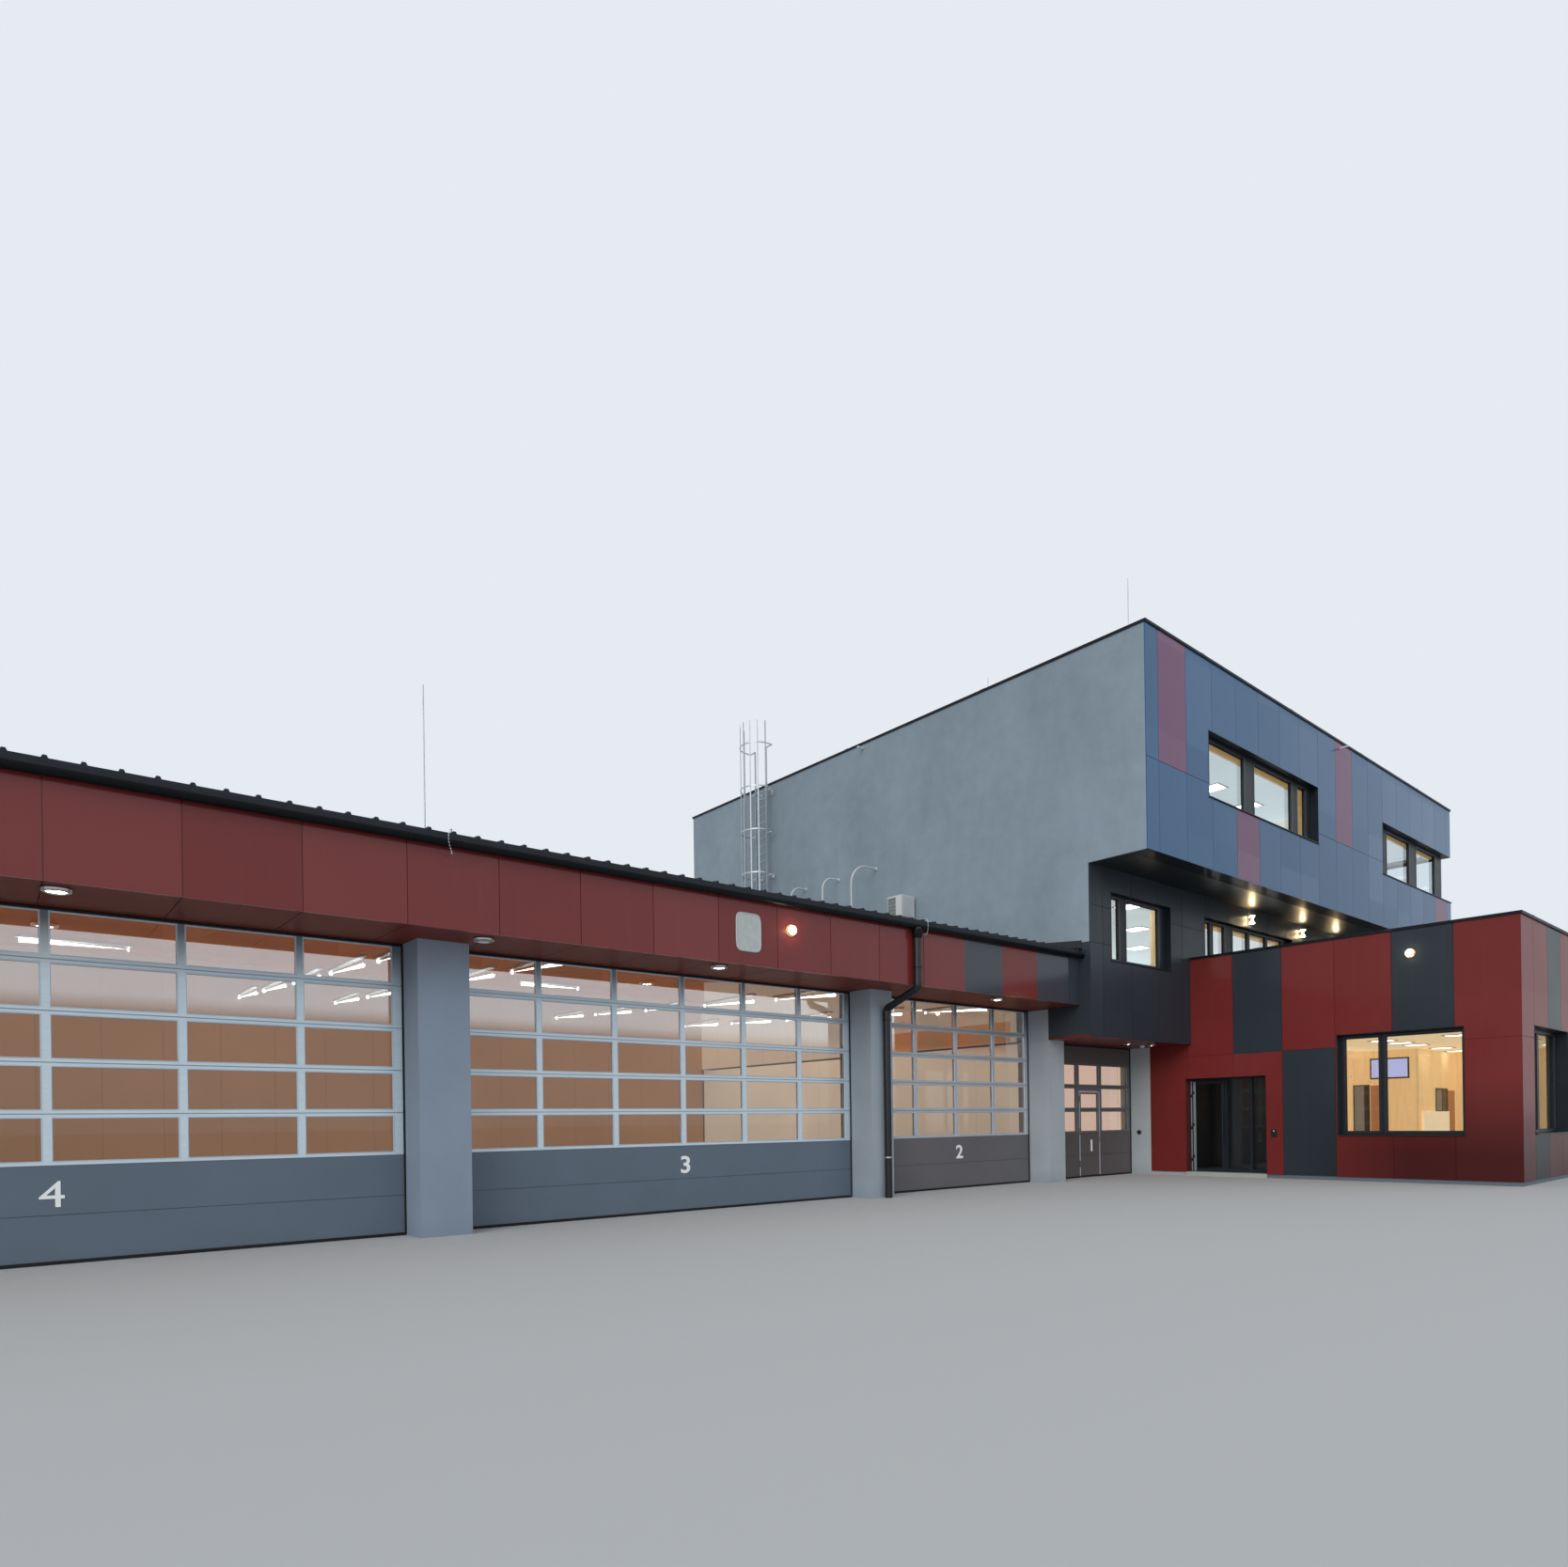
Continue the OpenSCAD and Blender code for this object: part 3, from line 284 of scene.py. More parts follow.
def panel_finish(name, rgb, pitch, first, axis="X", coat=0.28, gloss=0.12, foot=0.0):
    """Coated facade panel: each panel a touch lighter or darker, with faint rain streaks. The foot
    is the share of painted shade towards the ground and the block's corner."""
    f = Finish(name, Specular_IOR_Level=0.12, Coat_Roughness=gloss, Coat_IOR=1.45)
    z = f.axis("Z")
    tint = f.cell(((f.axis(axis) - first) / pitch).floor(), (z / 1.02).floor())
    cloud, grain = f.noise(1.7, 4.0), f.noise(420.0, 2.0)
    streak = f.noise(9.0, 3.0, 0.6, f.stretched((1.0, 1.0, 0.07)))
    base = f.tones((tint * 0.5 + cloud * 0.5).clamp(), rgb, 0.88, 1.14)
    base = f.mix(streak.rise(0.56, 1.6) * 0.35, base, dusted(rgb, 0.5, 0.07))
    if foot:
        # Painted shade at the foot, darker towards the ground and the block's corner
        painted_foot_shade = z.fall(1.15, 1.2) * f.axis("Y").fall(CORNER[1] - 2.1, 0.8)
        base = f.mix(painted_foot_shade * foot, base, shade(rgb, 0.12))
    return f.done(base, (grain + cloud * 4.0, 0.25, 0.0006),
                  Roughness=0.4 + cloud * 0.12 + grain * 0.05,
                  Coat_Weight=coat * (0.85 + tint * 0.3))


def canopy_finish(name):
    """Underside of the canopy: matt brown-red panels in soft clouds."""
    f = Finish(name, Specular_IOR_Level=0.05)
    cloud = f.noise(1.4, 4.0)
    return f.done(f.mix(cloud, (0.15, 0.028, 0.016), (0.2, 0.04, 0.023)),
                  (f.noise(420.0, 2.0), 0.2, 0.0005), Roughness=0.32 + cloud * 0.12)


def plaster_finish(name, rgb):
    """Scraped wall render: fine grain, clouds where the trowel stopped, and a tone a little
    darker towards the top.
    """
    f = Finish(name, Specular_IOR_Level=0.25)
    cloud = f.noise(1.1, 5.0, 0.6, f.stretched((1.0, 1.0, 0.55)))
    patch, grain = f.noise(5.5, 4.0, 0.65), f.noise(190.0, 4.0, 0.7)
    run = f.noise(7.0, 3.0, 0.6, f.stretched((1.0, 1.0, 0.05)))
    tone = (cloud * 0.6 + patch * 0.3 + grain * 0.16 + 0.17 - f.axis("Z") * 0.04).clamp()
    stops = [(0.3, shade(rgb, 0.84)), (0.72, shade(rgb, 1.18)), (0.52, rgb)]
    base = f.node("ValToRGB", {"stops": stops}, {"Fac": tone})
    return f.done(f.mix(run.rise(0.58, 1.5) * 0.4, base, shade(rgb, 0.78)),
                  (grain + patch * 2.0, 0.5, 0.0015), Roughness=0.86 + grain * 0.1)


def concrete_finish(name, rgb, rough=0.62, far=None):
    """Smooth concrete: soft clouds, small dark pores, and splashes near the ground. Far is the
    paler, less blue tone at the tower's end of the row of pillars; the blend towards it along the
    row is painted light, for the pillars near the tower stand in less blue skylight."""
    f = Finish(name, Specular_IOR_Level=0.35)
    cloud, fine = f.noise(2.3, 6.0, 0.6), f.noise(240.0, 3.0, 0.7)
    pore = f.spots(34.0).fall(0.085, 26.0) * (f.noise(6.0, 2.0) > 0.52)
    splash = ((0.16 - f.axis("Z")) * 5.0 + f.noise(4.0, 4.0) - 0.5).clamp() * 0.4
    mottle = (cloud * 0.8 + fine * 0.25).clamp()
    base = f.tones(mottle, rgb, 0.86, 1.16)
    if far:
        # Painted light: the tone turns to far along the row, towards the tower
        nearer = ((f.axis("X") - CORNER[0] + 7.3) / 9.6).clamp()
        base = f.mix(nearer, base, f.tones(mottle, far, 0.86, 1.16))
    dirty = f.mix(splash, base, shade(rgb, 0.7))
    return f.done(f.mix(pore * 0.5, dirty, shade(rgb, 0.45)),
                  (fine * 0.5 - pore * 2.0 + cloud, 0.4, 0.0012), Roughness=rough + cloud * 0.18)


def metal_finish(name, rgb, rough=0.38, metallic=0.0, gloss=0.5):
    """Powder-coated metal: a little orange peel, and dust in soft clouds."""
    f = Finish(name, Metallic=metallic, Specular_IOR_Level=gloss)
    dust = f.noise(14.0, 5.0, 0.7).rise(0.5, 2.0)
    base = f.tones(f.noise(3.1, 4.0), rgb, 0.85, 1.2)
    return f.done(f.mix(dust * 0.12, base, dusted(rgb, 0.6, 0.05)),
                  (f.noise(520.0, 2.0), 0.2, 0.0004), Roughness=rough + dust * 0.2)


def sheet_roof_finish(name, rgb):
    """Coated roof sheet: long runs of dirt down the slope and a dull film."""
    f = Finish(name, Specular_IOR_Level=0.25)
    run = f.noise(11.0, 4.0, 0.6, f.stretched((1.0, 0.06, 1.0)))
    film = f.noise(2.0, 5.0, 0.6)
    base = f.tones(film, rgb, 0.8, 1.25)
    return f.done(f.mix(run.rise(0.5, 1.6) * 0.5, base, dusted(rgb, 0.6, 0.05)),
                  (f.noise(300.0), 0.2, 0.0006), Roughness=0.5 + film * 0.15)


def membrane_finish(name, rgb):
    """Flat roof membrane: welded seams every metre, and dust gathered in shallow pools."""
    f = Finish(name, Specular_IOR_Level=0.2)
    seam = f.line(f.axis("X"), 1.05, 0.2, 0.012)
    pool = f.noise(0.9, 5.0, 0.6).rise(0.5, 2.4)
    base = f.mix(pool, rgb, dusted(rgb, 0.5, 0.09))
    return f.done(f.mix(seam * 0.6, base, shade(rgb, 0.6)),
                  (seam * 2.0 + f.noise(90.0, 4.0, 0.7), 0.5, 0.001), Roughness=0.85 + pool * 0.1)


def door_finish(name, section, bar):
    """Bay door: smooth grey closed sections at its foot, satin aluminium bars above them."""
    f = Finish(name, Specular_IOR_Level=0.5)
    z = f.axis("Z")
    upper = z > GLASS_LOW
    cloud = f.noise(2.6, 4.0)
    brush = f.noise(60.0, 3.0, 0.6, f.stretched((0.06, 1.0, 1.0)))
    low = f.tones(cloud, section, 0.9, 1.12)
    # Painted shadow of the canopy darkens the bars above 1.72 m
    high = f.mix(z.rise(1.72, 3.2), f.tones(brush, bar, 0.88, 1.1), shade(bar, 0.3))
    high = f.mix(f.line(z, PANE, GLASS_LOW, 0.007) * 0.6, high, shade(bar, 0.3))
    # Painted shade under the header darkens the door's top two centimetres
    base = f.mix(z > DOOR_TOP - 0.02, f.mix(upper, low, high), shade(section, 0.4))
    return f.done(base, (f.noise(300.0) + cloud, 0.22, 0.0005), Metallic=upper * 0.3,
                  Roughness=0.44 - upper * 0.1 + cloud * 0.08)


def small_door_finish(name, section, bar, top):
    """Small bay door and wicket: grey closed sections below and above the glazed rows."""
    f = Finish(name, Specular_IOR_Level=0.5)
    z = f.axis("Z")
    glazed = (z > GLASS_LOW) * (z < top)
    cloud = f.noise(2.6, 4.0)
    low = f.tones(cloud, section, 0.92, 1.1)
    high = f.tones(f.noise(60.0), bar, 0.92, 1.08)
    high = f.mix(f.line(z, PANE, GLASS_LOW, 0.007) * 0.5, high, shade(bar, 0.35))
    return f.done(f.mix(glazed, low, high), (f.noise(300.0) + cloud, 0.22, 0.0005),
                  Metallic=glazed * 0.3, Roughness=0.42 + cloud * 0.08)


def timber_finish(name, rgb, along="X", glow=0.0):
    """Planed laminated timber: long grain and lamellas of slightly different tone. Its glow is
    painted lamplight.
    """
    f = Finish(name, Specular_IOR_Level=0.3, Emission_Strength=glow)
    stretch = {"X": (0.05, 1.0, 1.0), "Y": (1.0, 0.05, 1.0), "Z": (1.0, 1.0, 0.05)}[along]
    grain = f.noise(38.0, 5.0, 0.65, f.stretched(stretch))
    lamella = (f.axis("Z") / 0.045).floor() if along != "Z" else (f.axis("Y") / 0.07).floor()
    plank = (f.axis("X") / 0.12).floor() if along == "Y" else 1.0
    tone = f.mix(f.cell(lamella, plank) * 0.45, f.tones(grain, rgb, 0.7, 1.3), shade(rgb, 0.7))
    return f.done(tone, (grain, 0.3, 0.0008), Emission_Color=tone, Roughness=0.5 + grain * 0.15)


def glass_finish(name, rgb, strong_above=None):
    """Clear glazing: a polished sheet that light passes, waved a little. Its coat mirrors more
    where the sheet is strongly coated, above the given height."""
    f = Finish(name, Roughness=0.015, IOR=1.36, Transmission_Weight=1.0, Coat_IOR=3.0,
               Coat_Roughness=0.02)
    wave = f.noise(1.3, 1.0)
    if strong_above is not None:
        f.set(Coat_Weight=f.axis("Z").rise(strong_above, 8.0))
    return f.done(f.mix(wave, shade(rgb, 0.94), rgb), (wave, 0.05, 0.004))


def lit_finish(name, rgb, glow, joint=0.0, axis="X"):
    """A wall, floor or ceiling in lamplight: soft clouds and, where a joint pitch is given, thin
    lines between its boards."""
    f = Finish(name, Roughness=0.6, Emission_Strength=glow)
    tone = f.tones(f.noise(0.8, 4.0), rgb, 0.85, 1.12)
    if joint:
        tone = f.mix(f.line(f.axis(axis), joint, 0.1, 0.006) * 0.5, tone, shade(rgb, 0.4))
    return f.done(tone, (f.noise(60.0), 0.2, 0.0006), Emission_Color=tone)


def ply_finish(name, rgb, glow):
    """Light plywood in lamplight: upright grain, sheets of different tone, and small knots."""
    f = Finish(name, Roughness=0.5, Emission_Strength=glow)
    grain = f.noise(22.0, 5.0, 0.62, f.stretched((1.0, 1.0, 0.08)))
    board = f.cell((f.axis("Y") / SHEET).floor(), (f.axis("X") / SHEET).floor())
    tone = f.mix(board * 0.35, f.tones(grain, rgb, 0.78, 1.18), shade(rgb, 0.82))
    tone = f.mix(f.spots(5.5).fall(0.09, 24.0) * 0.7, tone, shade(rgb, 0.35))
    tone = f.mix(f.line(f.axis("Y"), SHEET, 0.05, 0.005) * 0.6, tone, shade(rgb, 0.35))
    return f.done(tone, (grain, 0.2, 0.0006), Emission_Color=tone)


def glow_finish(name, rgb, glow):
    """The face of a lamp, with a slight ripple in its lens."""
    f = Finish(name, Roughness=0.3, Emission_Strength=glow)
    tone = f.mix(f.noise(30.0, 1.0), shade(rgb, 0.93), rgb)
    return f.done(tone, Emission_Color=tone)


def plaque_finish(name):
    """A blank enamelled plaque: pale, glossy, faintly mottled."""
    f = Finish(name, Roughness=0.25, Specular_IOR_Level=0.6)
    cloud = f.noise(24.0, 4.0)
    return f.done(f.mix(cloud, (0.42, 0.46, 0.45), (0.62, 0.66, 0.65)), (cloud, 0.2, 0.0008))


def rubber_finish(name):
    """Black seal rubber, dull, a little grey with dust."""
    f = Finish(name, Specular_IOR_Level=0.3)
    dust = f.noise(25.0, 5.0, 0.7)
    return f.done(f.mix(dust, (0.006, 0.006, 0.007), (0.022, 0.022, 0.023)), (dust, 0.3, 0.0006),
                  Roughness=0.62 + dust * 0.25)


def curtain_finish(name):
    """White cloth with daylight and lamplight in it: woven threads, and shade in its folds."""
    f = Finish(name, Roughness=0.85, Emission_Strength=0.62)
    fold = f.noise(26.0, 3.0, 0.6, f.stretched((1.0, 1.0, 0.03)))
    tone = f.mix(fold, (0.62, 0.66, 0.68), (0.98, 0.99, 0.98))
    return f.done(tone, (f.noise(700.0, 2.0), 0.2, 0.0004), Emission_Color=tone)


# ---------------------------------------------------------------- shapes

# For each face that a piece is put on: the axes of its width and height, and the axis out of it
FACES = {"front": (0, 2, 1, -1), "back": (0, 2, 1, 1), "left": (1, 2, 0, -1),
         "right": (1, 2, 0, 1), "below": (0, 1, 2, -1), "above": (0, 1, 2, 1)}


def on_face(face, plane, u, v, out):
    """Points of the frame from places u and v in a plane, and the distance out of the plane."""
    a, b, c, sign = FACES[face]
    u, v, plane, out = np.broadcast_arrays(u, v, plane, out)
    points = np.empty(u.shape + (3,))
    points[..., a], points[..., b], points[..., c] = u, v, plane + sign * out
    return points + CORNER


def rows(faces):
    """Rows of point numbers as lists."""
    return np.asarray(faces).reshape(-1, np.shape(faces)[-1]).tolist()


def together(*shapes):
    """Joins shapes: the faces of each are counted on from the points before them."""
    first = np.cumsum([0] + [len(verts) for verts, _ in shapes])
    faces = [[i + start for i in face] for (_, part), start in zip(shapes, first) for face in part]
    return np.concatenate([verts for verts, _ in shapes]), faces


def put(name, shape, material, body="building", smooth=False):
    """Makes a mesh object, turns its faces outwards, and gives it its material, slot and body."""
    verts, faces = shape
    mesh = bpy.data.meshes.new(name)
    mesh.from_pydata(np.asarray(verts).tolist(), [], faces)
    work = bmesh.new()
    work.from_mesh(mesh)
    bmesh.ops.recalc_face_normals(work, faces=work.faces)
    work.to_mesh(mesh)
    work.free()
    if smooth:
        mesh.polygons.foreach_set("use_smooth", np.ones(len(mesh.polygons), bool))
        mesh.set_sharp_from_angle(angle=np.radians(35))
    mesh.materials.append(material)
    piece = bpy.data.objects.new(name, mesh)
    bpy.context.scene.collection.objects.link(piece)
    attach(piece, body)
    return piece


BOX_CORNERS = np.array([(i, j, k) for i in (0, 1) for j in (0, 1) for k in (0, 1)], float)
BOX_SIDES = [(0, 1, 3, 2), (4, 6, 7, 5), (0, 4, 5, 1), (2, 3, 7, 6), (0, 2, 6, 4), (1, 5, 7, 3)]
CHAMFER_QUADS = np.array(
    [[3 * c + i // 2 for c in side] for i, side in enumerate(BOX_SIDES)]
    + [[3 * c + k, 3 * (c + s) + k, 3 * (c + s) + m, 3 * c + m]
       for a, (s, k, m) in enumerate([(4, 1, 2), (2, 0, 2), (1, 0, 1)])
       for c in range(8) if not BOX_CORNERS[c, a]])
CHAMFER_TRIS = np.arange(24).reshape(8, 3)


def slabs(boxes, edge=0.002):
    """Boxes with chamfered edges, each given by the three numbers of its low corner and the three
    of its high corner. Each corner becomes three points, one on every face that meets there, which
    move in along that face."""
    low, high = np.moveaxis(np.asarray(boxes, float).reshape(-1, 2, 3), 1, 0)
    half = (high - low) / 2
    cut = np.minimum(edge, half.min(1) * 0.45)[:, None, None, None]
    reach = half[:, None, None] - cut * (1 - np.eye(3))
    verts = ((high + low) / 2)[:, None, None] + (2 * BOX_CORNERS - 1)[:, None] * reach + CORNER
    first = 24 * np.arange(len(low))[:, None, None]
    return verts.reshape(-1, 3), rows(CHAMFER_QUADS + first) + rows(CHAMFER_TRIS + first)


def rings(count, around, points, closed):
    """Faces of a number of shapes whose points stand in rings of a length round each shape:
    neighbours along the profile and round the ring share a face. An open profile is capped."""
    ring, point = np.arange(around)[:, None], np.arange(points if closed else points - 1)[None]
    after, above = (ring + 1) % around, (point + 1) % points
    side = np.stack([ring * points + point, after * points + point,
                     after * points + above, ring * points + above], -1)
    first = around * points * np.arange(count)[:, None, None, None]
    faces = rows(side + first)
    if not closed:
        ends = np.arange(around) * points + np.array([0, points - 1])[:, None]
        faces += rows(ends + first[..., 0])
    return faces


def frames(face, plane, rects, profile):
    """Mitred frames round rectangles (u0, v0, u1, v1): each of the four corners carries the
    profile, whose points are a distance in from the rectangle's edge and out of the plane."""
    rects = np.asarray(rects, float).reshape(-1, 4)
    into, out = np.asarray(profile, float).T
    left, low, right, high = (rects[:, i, None] for i in range(4))
    u = np.stack([left + into, right - into, right - into, left + into], 1)
    v = np.stack([low + into, low + into, high - into, high - into], 1)
    verts = on_face(face, plane, u, v, out)
    return verts.reshape(-1, 3), rings(len(rects), 4, len(into), True)


def turned(face, places, profile, closed=False, sides=28):
    """Round pieces: a profile of radius and distance out is turned about the line that stands
    on the face at each place (u, v, plane)."""
    places = np.asarray(places, float).reshape(-1, 3)
    radius, out = np.asarray(profile, float).T
    angle = np.arange(sides)[:, None] * 2 * np.pi / sides
    u, v, plane = (places[:, i, None, None] for i in range(3))
    verts = on_face(face, plane, u + radius * np.cos(angle), v + radius * np.sin(angle), out)
    return verts.reshape(-1, 3), rings(len(places), sides, len(radius), closed)


def plate(face, plane, centre, half, profile, sides=64):
    """A plate with rounded corners: its outline is a superellipse of the sixth power. The profile
    gives the share of the outline and the distance out, from the rim to the middle."""
    share, out = np.asarray(profile, float).T
    angle = np.arange(sides)[:, None] * 2 * np.pi / sides
    reach = (np.abs(np.cos(angle)) ** 6 + np.abs(np.sin(angle)) ** 6) ** (-1 / 6)
    u = centre[0] + half[0] * np.cos(angle) * reach * share
    v = centre[1] + half[1] * np.sin(angle) * reach * share
    return on_face(face, plane, u, v, out).reshape(-1, 3), rings(1, sides, len(share), False)


def drawn(side, starts, ends):
    """A side view in Y and Z, drawn out along X from each start to its end."""
    side = np.asarray(side, float)
    x = np.stack(np.broadcast_arrays(np.atleast_1d(starts), np.atleast_1d(ends)), 1)
    verts = np.empty((len(x), len(side), 2, 3))
    verts[..., 0] = x[:, None]
    verts[..., 1:] = side[:, None]
    return (verts + CORNER).reshape(-1, 3), rings(len(x), len(side), 2, False)


def along_roof(y, low, high, x0, x1, foot=None):
    """A sheet from y[0] to y[1] that follows the hall roof, between two distances from the roof's
    underside, or from a foot's height up to the second one; it is drawn out along X."""
    roof = roof_under(y)
    under = roof + low if foot is None else (foot, foot)
    return drawn([(y[0], under[0]), (y[1], under[1]), (y[1], roof[1] + high),
                  (y[0], roof[0] + high)], x0, x1)


def rods(starts, ends, radius, sides=10):
    """Round bars: a profile of eight points is turned about the line from start to end. Four lie
    within a radius of the start, in order back to it, and four within a radius of the end, in
    order on to it. A point is as far from the line as the root of the bar's radius squared less
    its squared distance from the nearer end. So the start is hollow, the bar narrows from there to
    a point a radius before its end, and a dome stands between that point and the flat end."""
    starts, ends = (np.asarray(p, float).reshape(-1, 3) for p in (starts, ends))
    reach = np.linalg.norm(ends - starts, axis=1, keepdims=True)
    along = (ends - starts) / reach
    across = np.cross(along, (0.36, 0.48, 0.8))
    across /= np.linalg.norm(across, axis=1, keepdims=True)
    up = np.cross(along, across)
    turn = np.linspace(0.15, np.pi / 2, 4)
    near, far = 1 - np.sin(turn), 1 - np.cos(turn)[::-1]
    dist = np.concatenate([np.broadcast_to(radius * near, (len(reach), 4)),
                           reach - radius * far], 1)[:, None, :, None]
    width = radius * np.sqrt(1 - np.concatenate([near, far]) ** 2)[None, None, :, None]
    angle = np.arange(sides)[None, :, None, None] * 2 * np.pi / sides
    verts = (starts[:, None, None] + along[:, None, None] * dist
             + width * (np.cos(angle) * across[:, None, None] + np.sin(angle) * up[:, None, None]))
    return (verts + CORNER).reshape(-1, 3), rings(len(reach), sides, 8, False)


def sheet(u, v, y):
    """A thin cloth over the places u across and v up, whose distance y behind the doors is given
    at every point; a second layer a millimetre behind it closes the cloth."""
    grid = np.stack(np.broadcast_arrays(u[:, None], y, v[None]), -1)
    verts = np.concatenate([grid.reshape(-1, 3), (grid + (0, 0.001, 0)).reshape(-1, 3)]) + CORNER
    i, j = np.arange(len(u) - 1)[:, None], np.arange(len(v) - 1)[None]
    at = i * len(v) + j
    quads = np.stack([at, at + 1, at + len(v) + 1, at + len(v)], -1)
    return verts, rows(quads) + rows(quads + grid[..., 0].size)


def figure(text, x, z, height, y):
    """The outline of a plain number, raised a little from the door's face and centred."""
    curve = bpy.data.curves.new("figure_" + text, "FONT")
    # The heavier strokes would close the opening of a 4
    curve.body, curve.extrude, curve.offset = text, 0.01, 0.0 if text == "4" else 0.018
    made = bpy.data.objects.new(curve.name, curve)
    bpy.context.scene.collection.objects.link(made)
    graph = bpy.context.evaluated_depsgraph_get()
    mesh = bpy.data.meshes.new_from_object(made.evaluated_get(graph))
    points = np.empty(3 * len(mesh.vertices))
    mesh.vertices.foreach_get("co", points)
    points = points.reshape(-1, 3)
    low, high = points.min(0), points.max(0)
    flat = (points - (low + high) / 2) * (1.2, 1.0, 1.0) * height / (high - low)[1]
    faces = [list(face.vertices) for face in mesh.polygons]
    bpy.data.objects.remove(made)
    bpy.data.meshes.remove(mesh)
    bpy.data.curves.remove(curve)
    out = 0.0025 + 0.0015 * np.sign(flat[:, 2])
    return on_face("front", y, x + flat[:, 0], z + flat[:, 1], out), faces


def door_panes(x, width, columns):
    """Rectangles of a wide door's panes, between its bars and the stiles at its ends."""
    edges = x + np.arange(columns + 1) * width / columns
    left, right = edges[:-1] + BAR / 2, edges[1:] - BAR / 2
    left[0], right[-1] = x + STILE, x + width - STILE
    low = GLASS_LOW + np.arange(DOOR_ROWS) * PANE + BAR / 2
    cells = np.broadcast_arrays(left[:, None], low, right[:, None], low + PANE - BAR)
    return np.stack(cells, -1).reshape(-1, 4)


def boxed(name, corners, material, edge=0.002, body="building"):
    """Makes a piece of chamfered boxes."""
    return put(name, slabs(corners, edge), material, body)


def lamp(name, shape, finish, rgb, glow):
    """Makes a smooth pale piece that glows, or has no glow where that is nil."""
    return put(name, shape, glow_finish(finish, rgb, glow), smooth=True)


def squares(half_x, half_y, *places):
    """Rectangles of one size about places."""
    return [(x - half_x, y - half_y, x + half_x, y + half_y) for x, y in places]


def paint(material, nodes):
    """Puts a material on the CAD nodes of a list of names."""
    for name in nodes.split():
        mesh = NODES[name].data
        mesh.materials.clear()
        mesh.materials.append(material)


# Window lights on the front: plane, sill and head of the lights, and their edges along the front
FRONT_LIGHTS = [
    (-1.506, 4.634, 5.346, [(1.495, 2.576), (2.873, 4.005), (4.209, 4.463)]),
    (-1.506, 4.609, 5.345, [(7.66, 8.715), (9.07, 10.035)]),
    (-0.81, 2.678, 3.411, [(0.491, 0.734), (0.905, 1.669)]),
    (-0.81, 2.678, 3.411, [(2.795, 3.051), (3.133, 3.464), (3.72, 4.186), (4.246, 4.773),
                           (4.836, 5.325)]),
    (-4.285, 0.572, 1.655, [(x + a, x + b) for x in (2.83, 5.33, 7.83)
                            for a, b in ((0.048, 0.65), (0.722, 1.452))]),
]
SIDE_LIGHTS = [(-3.039, 0.572, -2.684, 1.662), (-3.851, 0.572, -3.111, 1.662)]


# ---------------------------------------------------------------- operators

